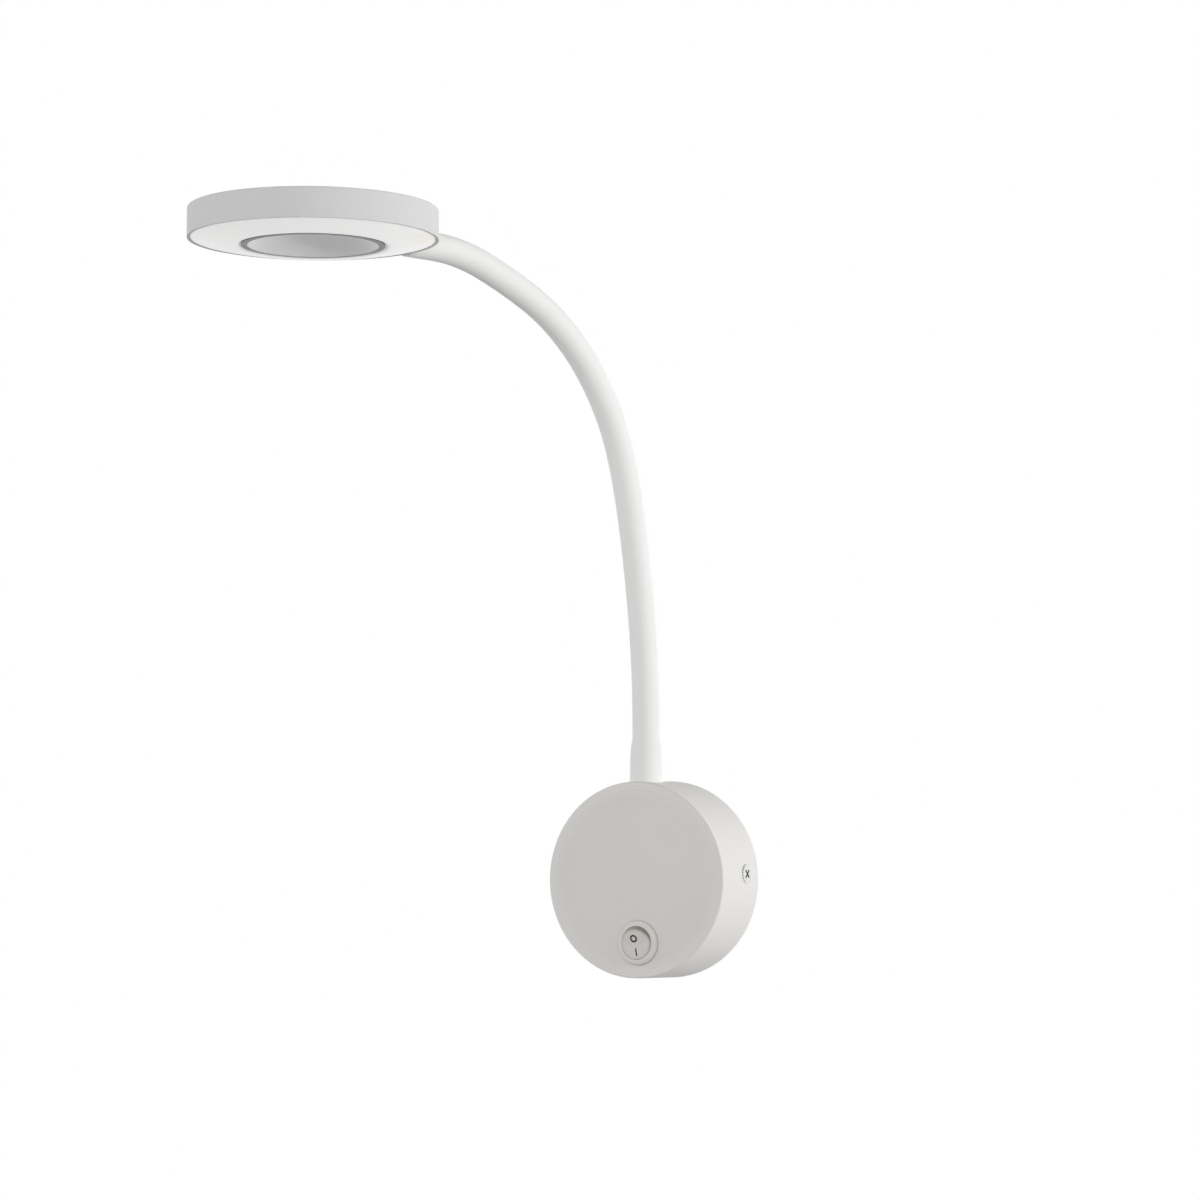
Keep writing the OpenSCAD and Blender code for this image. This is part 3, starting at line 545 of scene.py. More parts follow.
class Finish:
    """One material under construction: a Principled shader and object coordinates."""

    def __init__(self, name):
        self.material = bpy.data.materials.new(name)
        self.material.use_nodes = True
        self.tree = self.material.node_tree
        self.shader = self.tree.nodes["Principled BSDF"]
        self.position = self.tree.nodes.new("ShaderNodeTexCoord").outputs["Object"]

    def group(self, kind, **values):
        """The outputs of a shader group on the object coordinates, with some of its inputs set."""
        node = self.tree.nodes.new("ShaderNodeGroup")
        node.node_tree = GROUPS[kind]
        self.tree.links.new(self.position, node.inputs["Vector"])
        for key, value in values.items():
            node.inputs[label_of(key)].default_value = value
        return node.outputs

    def set(self, **values):
        """Sets inputs of the shader, named with underscores for spaces."""
        for key, value in values.items():
            self.shader.inputs[key.replace("_", " ")].default_value = value
        return self

    def roughen(self, mask, low, high):
        """Lets the roughness go from low to high with a mask."""
        node = self.tree.nodes.new("ShaderNodeMapRange")
        node.inputs["To Min"].default_value = low
        node.inputs["To Max"].default_value = high
        self.tree.links.new(mask, node.inputs["Value"])
        self.tree.links.new(node.outputs["Result"], self.shader.inputs["Roughness"])

    def mix(self, mask, first, second):
        """A colour between two others by a mask; each is a socket or a colour."""
        node = self.tree.nodes.new("ShaderNodeMix")
        node.data_type = "RGBA"
        self.tree.links.new(mask, node.inputs["Factor"])
        for label, value in (("A", first), ("B", second)):
            socket = [s for s in node.inputs if s.name == label and s.type == "RGBA"][0]
            plain = not isinstance(value, bpy.types.NodeSocket)
            feed(self.tree, (*value, 1.0) if plain else value, socket)
        return [s for s in node.outputs if s.type == "RGBA"][0]

    def colour(self, socket):
        """Gives the shader its colour."""
        self.tree.links.new(socket, self.shader.inputs["Base Color"])

    def bump(self, height, depth):
        """Gives the shader a fine relief."""
        node = self.tree.nodes.new("ShaderNodeBump")
        node.inputs["Distance"].default_value = depth
        node.inputs["Strength"].default_value = 1.0
        self.tree.links.new(height, node.inputs["Height"])
        self.tree.links.new(node.outputs["Normal"], self.shader.inputs["Normal"])


def tinted(tone, factors):
    """A colour with each channel times its own factor."""
    return tuple(min(1.0, c * f) for c, f in zip(tone, factors))


def shaded(tone, factor):
    """A lighter or darker colour of the same hue."""
    return tinted(tone, (factor, factor, factor))


# how a coat's grain, soil and specks differ from its own tone
GRIT_PER_PEEL = 3.6
SOIL_BLUE = 0.992
GRAIN_TONE = 0.97
SPECK_TONE = 0.55
SPECK_STRENGTH = 0.35
ROUGH_SPREAD = 0.05

# specular level of a matt coat
MATT = 0.12


def coated(name, tone, rough, peel, depth, patch=22.0, soil=0.965, specks=True, over=None):
    """A coat or moulding: grain, broad marks, a few specks and what a function adds over one colour."""
    finish = Finish(name)
    grain = finish.group("grain", peel_size=peel, grit_size=peel * GRIT_PER_PEEL)
    mask = finish.group("handling", patch_size=patch)["Mask"]
    result = finish.mix(mask, tinted(tone, (soil, soil, soil * SOIL_BLUE)), tone)
    result = finish.mix(grain["Tone"], result, shaded(tone, GRAIN_TONE))
    if specks:
        dots = finish.group("specks")["Mask"]
        faint = math_node(finish.tree, "MULTIPLY", dots, SPECK_STRENGTH)
        result = finish.mix(faint, result, shaded(tone, SPECK_TONE))
    if over is not None:
        result = over(finish, result)
    finish.colour(result)
    finish.roughen(mask, rough - ROUGH_SPREAD, rough + ROUGH_SPREAD)
    finish.bump(grain["Height"], depth)
    return finish


# how the dull patches of a metal differ from its own tone
DULL_TONE = 0.82
DULL_ROUGH = 0.12
DULL_PATCH = 60.0
DULL_CONTRAST = 2.2
LINE_DEPTH = 0.02 * MM


def metal(name, tone, rough, stretch, lines=2400.0):
    """Plated or drawn metal with fine lines and dull patches."""
    finish = Finish(name)
    drawn = finish.group("drawn", stretch=stretch, line_size=lines)
    mask = finish.group("handling", patch_size=DULL_PATCH, contrast=DULL_CONTRAST)["Mask"]
    finish.colour(finish.mix(mask, shaded(tone, DULL_TONE), tone))
    finish.roughen(mask, rough + DULL_ROUGH, rough)
    finish.bump(drawn["Height"], LINE_DEPTH)
    return finish.set(Metallic=1.0)


# what lies over a finish's own colour


# weights of the axes for circles around y and around z
AROUND_Y = (1.0, 0.0, 1.0)
AROUND_Z = (1.0, 1.0, 0.0)

# the rocker's attribute for painted shade along its rim
RIM_SHADE = "soil"


def seam(finish, result, tone, strength, **circle):
    """A thin darker line on a circle: a turned line, or painted shade in a seam."""
    line = finish.group("bands", **circle)["Line"]
    return finish.mix(math_node(finish.tree, "MULTIPLY", line, strength), result, tone)


def drum_lines_and_seam_shade(tones):
    """Faint turned lines near the drum's rim, and painted shade in the seams around what stands on it."""
    marks = settings().marks
    low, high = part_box("base_housing")
    rim = high.x
    lined = shaded(tones.paint, marks.turned_tone)

    def over(finish, result):
        edge = finish.group("bands", flat=AROUND_Y, radius=rim - marks.rim_reach, width=marks.rim_fade)
        result = finish.mix(edge["Outside"], result, shaded(tones.paint, marks.rim_tone))
        for inset in marks.turned_insets:
            result = seam(
                finish, result, lined, marks.turned_strength,
                flat=AROUND_Y, radius=rim - inset, width=marks.turned_width,
            )
        # painted shade where the switch's bezel meets the drum's face
        result = seam(
            finish, result, tones.soil, marks.switch_soil, middle=middle_of("switch_body", y=low.y),
            flat=(1.0, marks.hug, 1.0), radius=half_size("switch_body", "x"), width=marks.switch_soil_width,
        )
        result = seam(
            finish, result, tones.soil, marks.neck_soil, middle=middle_of("root_sleeve", z=rim),
            flat=(1.0, 1.0, marks.foot_hug), radius=half_size("root_sleeve", "x"),
            width=marks.neck_soil_width,
        )
        for name, side in (("lock_screw_right", rim), ("lock_screw_left", -rim)):
            result = seam(
                finish, result, tones.soil, marks.screw_soil, middle=middle_of(name, x=side),
                flat=(marks.hug, 1.0, 1.0), radius=half_size(name, "z"), width=marks.screw_soil_width,
            )
        return result

    return over


def head_rim_seam_shade(tones):
    """Painted shade in the seam between the head's rim and the light ring."""
    marks = settings().marks
    low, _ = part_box("head_housing")

    def over(finish, result):
        return seam(
            finish, result, tones.soil, marks.head_soil, middle=middle_of("head_housing", z=low.z),
            flat=(1.0, 1.0, marks.hug), radius=half_size("light_ring", "x"), width=marks.head_soil_width,
        )

    return over


def opal_marks(tones):
    """Painted shade on the light ring towards the dark ring, and a yellow spot at one end."""
    marks = settings().marks
    middle = middle_of("head_housing")
    towards = Matrix.Rotation(marks.yellow_turn, 3, "Z") @ -NeckLine().out
    yellow_spot = middle + towards * half_size("head_housing", "x")

    def over(finish, result):
        dark_ring = half_size("trim_ring", "x")
        # painted shade on the light ring near the dark ring; it goes into the ring's faint glow as well
        beside = finish.group("bands", middle=middle, flat=AROUND_Z, radius=dark_ring, width=marks.opal_fade)
        result = finish.mix(beside["Outside"], shaded(tones.opal, marks.opal_tone), result)
        away = finish.group(
            "bands", middle=yellow_spot, flat=AROUND_Z, radius=marks.yellow_reach, width=marks.yellow_fade
        )
        result = finish.mix(away["Outside"], tinted(tones.opal, marks.yellow), result)
        finish.tree.links.new(result, finish.shader.inputs["Emission Color"])
        return result

    return over


def trim_marks(tones):
    """The trim ring's inner edge, which has the dish's coat."""
    marks = settings().marks
    middle = middle_of("trim_ring")

    def over(finish, result):
        face = finish.group(
            "bands", middle=middle, flat=AROUND_Z, radius=marks.trim_edge, width=marks.trim_fade
        )
        return finish.mix(face["Outside"], tones.dish, result)

    return over


def rocker_rim_shade(tones):
    """Painted shade along the rocker's rim, by its own attribute."""

    def over(finish, result):
        rim = finish.tree.nodes.new("ShaderNodeAttribute")
        rim.attribute_name = RIM_SHADE
        return finish.mix(rim.outputs["Fac"], result, tones.soil)

    return over


# finishes by slot


def outer_finishes(tones):
    """Finishes of what is seen on the wall."""
    moulded = dict(rough=0.40, peel=1600.0, depth=0.02 * MM, patch=90.0, soil=0.95, specks=False)
    inked = dict(peel=2400.0, depth=0.01 * MM, patch=400.0, soil=0.7, specks=False)
    return {
        "paint_white": coated(
            "Drum powder coat", tones.paint, rough=0.6, peel=850.0, depth=0.04 * MM,
            patch=14.0, soil=0.94, over=drum_lines_and_seam_shade(tones),
        ).set(Specular_IOR_Level=MATT),
        "paint_head_shaded": coated(
            "Head powder coat shaded", tones.head_paint, rough=0.6, peel=850.0, depth=0.04 * MM,
            over=head_rim_seam_shade(tones),
        ).set(Specular_IOR_Level=MATT),
        "silicone_white": coated(
            "Silicone", tones.silicone, rough=0.6, peel=420.0, depth=0.03 * MM,
            patch=30.0, soil=0.975, specks=False,
        ).set(Specular_IOR_Level=MATT),
        # the light ring glows faintly in its own colours, painted shade and yellow spot included
        "opal_white": coated(
            "Opal", tones.opal, rough=0.35, peel=260.0, depth=0.003 * MM,
            patch=18.0, soil=0.985, specks=False, over=opal_marks(tones),
        ).set(Specular_IOR_Level=0.2, Emission_Strength=0.3),
        "dish_grey": coated(
            "Dish coat", tones.dish, rough=0.32, peel=1400.0, depth=0.01 * MM, patch=26.0, soil=0.96,
        ).set(Specular_IOR_Level=0.8),
        "trim_grey": coated(
            "Trim coat", tones.trim, rough=0.42, peel=1800.0, depth=0.02 * MM,
            patch=40.0, soil=0.92, specks=False, over=trim_marks(tones),
        ),
        "switch_white": coated("Switch nylon", tones.switch, **moulded),
        "rocker": coated("Rocker nylon", tones.rocker, over=rocker_rim_shade(tones), **moulded),
        "mark": coated("Mark ink", tones.mark, rough=0.45, **inked),
        # painted shade for the side screws' recess and grooves
        "recess": coated("Recess painted shade", tones.recess, rough=0.6, **inked),
        "nickel": metal("Nickel plate", tones.nickel, rough=0.34, stretch=(1.0, 0.2, 1.0)),
    }


def inner_finishes(tones):
    """Finishes of what the drum, the neck and the head hold."""
    return {
        "nylon_white": coated(
            "Moulded nylon", tones.nylon, rough=0.50, peel=1100.0, depth=0.03 * MM,
            patch=45.0, soil=0.94,
        ),
        "rubber_black": coated(
            "Bush rubber", tones.rubber, rough=0.62, peel=1500.0, depth=0.04 * MM,
            patch=80.0, soil=0.7,
        ),
        "wire_black": coated(
            "Wire jacket", tones.rubber, rough=0.45, peel=1900.0, depth=0.02 * MM,
            patch=120.0, soil=0.7, specks=False,
        ),
        "lead_white": coated(
            "Lead jacket", tones.silicone, rough=0.5, peel=900.0, depth=0.02 * MM,
            patch=90.0, soil=0.95, specks=False,
        ),
        "foam_grey": coated(
            "Foam", tones.foam, rough=0.9, peel=700.0, depth=0.3 * MM,
            patch=120.0, soil=0.6, specks=False,
        ),
        "board_white": coated(
            "Solder mask", tones.board, rough=0.32, peel=500.0, depth=0.01 * MM,
            patch=70.0, soil=0.95,
        ),
        "led_yellow": coated(
            "Phosphor", tones.phosphor, rough=0.55, peel=2600.0, depth=0.05 * MM,
            patch=300.0, soil=0.85, specks=False,
        ),
        "zinc": metal("Zinc plate", tones.zinc, rough=0.30, stretch=(1.0, 0.08, 1.0)),
        "spring_steel": metal(
            "Spring wire", tones.steel, rough=0.34, stretch=(1.0, 1.0, 0.3), lines=3000.0
        ),
        "brass": metal("Contact brass", tones.brass, rough=0.28, stretch=(0.1, 1.0, 1.0)),
    }


def make_finishes():
    """Makes the shader groups, and every material of the lamp by slot."""
    tones = settings().finish
    for build in (grain_group, handling_group, specks_group, drawn_group, bands_group):
        GROUPS[build.__name__.removesuffix("_group")] = build()
    for made in (outer_finishes(tones), inner_finishes(tones)):
        MATERIALS.update({slot: finish.material for slot, finish in made.items()})


# mesh helpers


# distances below which a point is on the axis, and two points are one
ON_AXIS = 1e-9
WELD = 1e-7


def object_from(name, mesh, *slots):
    """A new object at the origin for a mesh; where slots are named, it gets their finishes alone."""
    piece = bpy.data.objects.new(name, mesh)
    bpy.context.scene.collection.objects.link(piece)
    if slots:
        mesh.materials.clear()
    for slot in slots:
        mesh.materials.append(MATERIALS[slot])
    return piece


def mesh_from(name, build):
    """A mesh made by a function that fills a bmesh; faces are turned outwards."""
    work = bmesh.new()
    build(work)
    bmesh.ops.remove_doubles(work, verts=work.verts, dist=WELD)
    bmesh.ops.recalc_face_normals(work, faces=work.faces)
    mesh = bpy.data.meshes.new(name)
    work.to_mesh(mesh)
    work.free()
    return mesh


def smooth(mesh, degrees):
    """Smooth shading, with edges sharper than an angle kept sharp."""
    mesh.shade_smooth()
    mesh.set_sharp_from_angle(angle=math.radians(degrees))


def settled(piece, name):
    """The evaluated mesh of a piece with its modifiers, as a plain mesh; the piece goes."""
    graph = bpy.context.evaluated_depsgraph_get()
    mesh = bpy.data.meshes.new_from_object(piece.evaluated_get(graph), depsgraph=graph)
    mesh.name = name
    old = piece.data
    bpy.data.objects.remove(piece)
    if old.users == 0:
        bpy.data.meshes.remove(old)
    return mesh


def skin_rows(work, rows):
    """Faces between rows of points around an axis; a row of one point is a pole."""
    for low, high in zip(rows, rows[1:]):
        sides = max(len(low), len(high))
        for i in range(sides):
            k = (i + 1) % sides
            if len(low) == 1:
                work.faces.new((low[0], high[i], high[k]))
            elif len(high) == 1:
                work.faces.new((low[i], low[k], high[0]))
            else:
                work.faces.new((low[i], low[k], high[k], high[i]))


def lathe(work, profile, sides):
    """A closed turned shape about the z axis from (radius, height) points, first and last on the axis."""
    rows = []
    for radius, height in profile:
        if radius < ON_AXIS:
            rows.append([work.verts.new((0.0, 0.0, height))])
        else:
            rows.append([
                work.verts.new((radius * math.cos(a), radius * math.sin(a), height))
                for a in (2 * math.pi * i / sides for i in range(sides))
            ])
    skin_rows(work, rows)


def joined(mesh, *others):
    """Adds other meshes to a mesh, in its first material, and deletes them."""
    work = bmesh.new()
    work.from_mesh(mesh)
    for other in others:
        other.materials.clear()
        work.from_mesh(other)
        bpy.data.meshes.remove(other)
    work.to_mesh(mesh)
    work.free()


def cut(name, mesh, tool_mesh):
    """A mesh without what another mesh covers; both are used up."""
    piece = object_from(name + ".whole", mesh)
    tool = object_from(name + ".tool", tool_mesh)
    modifier = piece.modifiers.new("Cut", "BOOLEAN")
    modifier.operation = "DIFFERENCE"
    modifier.solver = "EXACT"
    modifier.object = tool
    result = settled(piece, name)
    bpy.data.objects.remove(tool)
    return result


# geometry node trees


def geometry_tree(name, **inputs):
    """A geometry tree with named inputs and a material; returns the tree, its inputs and its output."""
    tree = bpy.data.node_groups.new(name, "GeometryNodeTree")
    kinds = {"geometry": "Geometry", **inputs, "material": "Material"}
    for key, kind in kinds.items():
        tree.interface.new_socket(label_of(key), in_out="INPUT", socket_type="NodeSocket" + kind)
    tree.interface.new_socket("Geometry", in_out="OUTPUT", socket_type="NodeSocketGeometry")
    given = tree.nodes.new("NodeGroupInput").outputs
    return tree, given, tree.nodes.new("NodeGroupOutput").inputs["Geometry"]


def end_tree(tree, given, result, geometry):
    """Closes a tree with Realize Instances and Set Material."""
    realize = tree.nodes.new("GeometryNodeRealizeInstances")
    paint = tree.nodes.new("GeometryNodeSetMaterial")
    link_all(
        tree,
        (geometry, realize.inputs["Geometry"]),
        (realize.outputs["Geometry"], paint.inputs["Geometry"]),
        (given["Material"], paint.inputs["Material"]),
        (paint.outputs["Geometry"], result),
    )
    return tree


TREES = {}


def add_tree(piece, build, slot, **values):
    """Puts a tree on a piece, made by its function once, and sets its inputs by their identifiers."""
    if build.__name__ not in TREES:
        TREES[build.__name__] = build()
    tree = TREES[build.__name__]
    modifier = piece.modifiers.new(tree.name, "NODES")
    modifier.node_group = tree
    named = {label_of(key): value for key, value in values.items()}
    named["Material"] = MATERIALS[slot]
    for item in tree.interface.items_tree:
        if item.in_out == "INPUT" and item.name in named:
            modifier[item.identifier] = named[item.name]


def grown(name, build, slot, **values):
    """The plain mesh of a tree that needs no geometry to start from."""
    carrier = object_from(name + ".carrier", bpy.data.meshes.new(name + ".empty"))
    add_tree(carrier, build, slot, **values)
    return settled(carrier, name)


TUBE_RADIUS = "tube_radius"


def tube_tree():
    """A round tube along a row of points, as wide as each point's radius."""
    tree, given, result = geometry_tree("Tube along a path", sides="Int", caps="Bool")
    path = tree.nodes.new("GeometryNodeMeshToCurve")
    ring = tree.nodes.new("GeometryNodeCurvePrimitiveCircle")
    ring.inputs["Radius"].default_value = 1.0
    width = tree.nodes.new("GeometryNodeInputNamedAttribute")
    width.data_type = "FLOAT"
    width.inputs["Name"].default_value = TUBE_RADIUS
    sweep = tree.nodes.new("GeometryNodeCurveToMesh")
    soft = tree.nodes.new("GeometryNodeSetShadeSmooth")
    link_all(
        tree,
        (given["Geometry"], path.inputs["Mesh"]),
        (given["Sides"], ring.inputs["Resolution"]),
        (path.outputs["Curve"], sweep.inputs["Curve"]),
        (ring.outputs["Curve"], sweep.inputs["Profile Curve"]),
        (width.outputs["Attribute"], sweep.inputs["Scale"]),
        (given["Caps"], sweep.inputs["Fill Caps"]),
        (sweep.outputs["Mesh"], soft.inputs["Geometry"]),
    )
    return end_tree(tree, given, result, soft.outputs["Geometry"])


def knurl_tree():
    """Round lobes around the rim of a screw's head."""
    tree, given, result = geometry_tree(
        "Knurl lobes", lobes="Int", ring_radius="Float", lobe_size="Vector", middle_height="Float"
    )
    ring = tree.nodes.new("GeometryNodeMeshCircle")
    lift = tree.nodes.new("ShaderNodeCombineXYZ")
    raised = tree.nodes.new("GeometryNodeTransform")
    lobe = tree.nodes.new("GeometryNodeMeshCylinder")
    lobe.inputs["Vertices"].default_value = 20
    lobe.inputs["Radius"].default_value = 1.0
    lobe.inputs["Depth"].default_value = 1.0
    where = tree.nodes.new("GeometryNodeInputPosition")
    outwards = tree.nodes.new("ShaderNodeVectorMath")
    outwards.operation = "MULTIPLY"
    outwards.inputs[1].default_value = AROUND_Z
    turn = tree.nodes.new("FunctionNodeAlignRotationToVector")
    turn.axis = "X"
    each = tree.nodes.new("GeometryNodeInstanceOnPoints")
    link_all(
        tree,
        (given["Lobes"], ring.inputs["Vertices"]),
        (given["Ring radius"], ring.inputs["Radius"]),
        (given["Middle height"], lift.inputs["Z"]),
        (ring.outputs["Mesh"], raised.inputs["Geometry"]),
        (lift.outputs["Vector"], raised.inputs["Translation"]),
        (where.outputs["Position"], outwards.inputs[0]),
        (outwards.outputs["Vector"], turn.inputs["Vector"]),
        (raised.outputs["Geometry"], each.inputs["Points"]),
        (lobe.outputs["Mesh"], each.inputs["Instance"]),
        (turn.outputs["Rotation"], each.inputs["Rotation"]),
        (given["Lobe size"], each.inputs["Scale"]),
    )
    return end_tree(tree, given, result, each.outputs["Instances"])


def thread_tree():
    """A ridge wound around a shank."""
    tree, given, result = geometry_tree(
        "Thread", turns="Float", shank_radius="Float", rise="Float", ridge_radius="Float"
    )
    wound = tree.nodes.new("GeometryNodeCurveSpiral")
    wound.inputs["Resolution"].default_value = 32
    ring = tree.nodes.new("GeometryNodeCurvePrimitiveCircle")
    ring.inputs["Resolution"].default_value = 4
    sweep = tree.nodes.new("GeometryNodeCurveToMesh")
    sweep.inputs["Fill Caps"].default_value = True
    link_all(
        tree,
        (given["Turns"], wound.inputs["Rotations"]),
        (given["Shank radius"], wound.inputs["Start Radius"]),
        (given["Shank radius"], wound.inputs["End Radius"]),
        (given["Rise"], wound.inputs["Height"]),
        (given["Ridge radius"], ring.inputs["Radius"]),
        (wound.outputs["Curve"], sweep.inputs["Curve"]),
        (ring.outputs["Curve"], sweep.inputs["Profile Curve"]),
    )
    return end_tree(tree, given, result, sweep.outputs["Mesh"])


def copies_tree():
    """One shape at each point of a row."""
    tree, given, result = geometry_tree("Copies on points", shape="Object")
    shape = tree.nodes.new("GeometryNodeObjectInfo")
    each = tree.nodes.new("GeometryNodeInstanceOnPoints")
    link_all(
        tree,
        (given["Shape"], shape.inputs["Object"]),
        (given["Geometry"], each.inputs["Points"]),
        (shape.outputs["Geometry"], each.inputs["Instance"]),
    )
    return end_tree(tree, given, result, each.outputs["Instances"])


def tube(name, points, radii, sides, slot, wall=None):
    """A tube along points as a plain mesh: a hollow one with a wall, or a solid one with caps."""
    mesh = bpy.data.meshes.new(name + ".path")
    mesh.from_pydata([tuple(p) for p in points], [(i, i + 1) for i in range(len(points) - 1)], [])
    mesh.attributes.new(TUBE_RADIUS, "FLOAT", "POINT").data.foreach_set("value", radii)
    piece = object_from(name + ".path", mesh)
    add_tree(piece, tube_tree, slot, sides=sides, caps=wall is None)
    if wall is not None:
        skin = piece.modifiers.new("Wall", "SOLIDIFY")
        skin.thickness = wall
        skin.offset = -1.0
        skin.use_rim = True
        skin.use_even_offset = True
    made = settled(piece, name)
    if TUBE_RADIUS in made.attributes:
        made.attributes.remove(made.attributes[TUBE_RADIUS])
    smooth(made, degrees=50.0)
    return made


# operators for the pieces


class LAMP_OT_finishes(bpy.types.Operator):
    """Build the finishes and put them on the lamp's solids"""

    bl_idname = "wall_lamp.finishes"
    bl_label = "Finishes on the solids"

    def execute(self, context):
        make_finishes()
        for part in frame["record"]["subparts"]:
            solid = frame["nodes"][part["node"]]
            solid.data.materials.clear()
            solid.data.materials.append(MATERIALS[part["material_slot"]])
        # the head's solid gets the darker, shaded copy of the white coat
        frame["nodes"]["head_housing"].data.materials[0] = MATERIALS["paint_head_shaded"]
        return {"FINISHED"}


def lay_lengths(kind, slot, line, start, end, stretch, stands_for):
    """Lays lengths along the neck: a rigid one at each end, and one across each joint.

    stretch makes a length's mesh between two distances. stands_for has the solid that a length replaces.
    """
    sizes = settings().neck
    joints = line.at_joint
    between = [(a + b) / 2 for a, b in zip(joints, joints[1:])]
    cuts = [joints[0] - sizes.flex_foot, *between, joints[-1] + sizes.flex_head]

    def lay(name, first, last):
        return object_from(name, stretch(name, first, last), slot)

    def note(piece):
        """Hides the solid that a length stands for, if any."""
        if piece.name in stands_for:
            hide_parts(stands_for[piece.name])

    foot = lay(f"{kind}_foot", start, cuts[0])
    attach(foot, "base")
    note(foot)
    for k, joint in enumerate(line.joints):
        piece = lay(f"{kind}_bend_{k + 1}", cuts[k], cuts[k + 1])
        half = min(joints[k] - cuts[k], cuts[k + 1] - joints[k]) - sizes.flex_margin
        ends = [line.at(joints[k] - half), line.at(joints[k] + half)]
        joint["parent"]
        joint["child"]
        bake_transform(piece)
        note(piece)
    tip = lay(f"{kind}_end", cuts[-1], end)
    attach(tip, "head")
    note(tip)


class LAMP_OT_sleeve(bpy.types.Operator):
    """Make the silicone sleeve as lengths across the neck's joints"""

    bl_idname = "wall_lamp.sleeve"
    bl_label = "Sleeve"

    def width_at(self, travel, sizes, collar):
        """Radius of the sleeve, swollen over the ferrule at its foot."""
        if travel <= sizes.collar_height:
            return collar + (sizes.collar_top - collar) * travel / sizes.collar_height
        part = min(1.0, (travel - sizes.collar_height) / sizes.shoulder)
        return sizes.collar_top + (sizes.plain_radius - sizes.collar_top) * (1 - math.cos(math.pi * part)) / 2

    def saddle(self, mesh, line, stop, middle, head_radius):
        """Carries the last ring of the sleeve on to the head's round wall."""
        tolerance = 0.01 * MM
        for vertex in mesh.vertices:
            past = (vertex.co - stop).dot(line.out)
            if past > -tolerance:
                side = (vertex.co - middle).cross(Vector((0.0, 0.0, 1.0))).dot(line.out)
                gap = head_radius - math.sqrt(head_radius * head_radius - side * side)
                vertex.co += line.out * (gap - past)

    def execute(self, context):
        sizes = settings().neck
        line = NeckLine()
        collar = half_size("root_sleeve", "x")
        middle = middle_of("head_housing")
        head_radius = half_size("head_housing", "x")
        end = line.at_joint[-1] + (middle - line.places[-1]).dot(line.out) - head_radius

        def stretch(name, first, last):
            row = line.row(first, last, sizes.ring_step)
            path = [line.at(t) for t in row]
            widths = [self.width_at(t, sizes, collar) for t in row]
            mesh = tube(name, path, widths, sizes.sleeve_sides, "silicone_white", sizes.sleeve_wall)
            if last == end:
                self.saddle(mesh, line, line.at(end), middle, head_radius)
            return mesh

        stands_for = {f"sleeve_bend_{k}": f"neck_sleeve_{k}" for k in range(1, len(line.joints))}
        stands_for["sleeve_foot"] = "root_sleeve"
        stands_for["sleeve_end"] = "head_sleeve"
        lay_lengths("sleeve", "silicone_white", line, 0.0, end, stretch, stands_for)
        return {"FINISHED"}


class LAMP_OT_lead(bpy.types.Operator):
    """Make the lead inside the neck as lengths along the sleeve's line"""

    bl_idname = "wall_lamp.lead"
    bl_label = "Lead in the neck"

    def execute(self, context):
        sizes = settings().neck
        line = NeckLine()
        solid = frame["nodes"]["neck_lead"].data.vertices
        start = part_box("neck_lead")[0].z - line.foot
        end = line.at_joint[-1] + max((v.co - line.places[-1]).dot(line.out) for v in solid)

        def stretch(name, first, last):
            path = [line.at(t) for t in line.row(first, last, sizes.lead_step)]
            widths = [sizes.lead_radius] * len(path)
            return tube(name, path, widths, sizes.lead_sides, "lead_white")

        lay_lengths("lead", "lead_white", line, start, end, stretch, {"lead_foot": "neck_lead"})
        return {"FINISHED"}


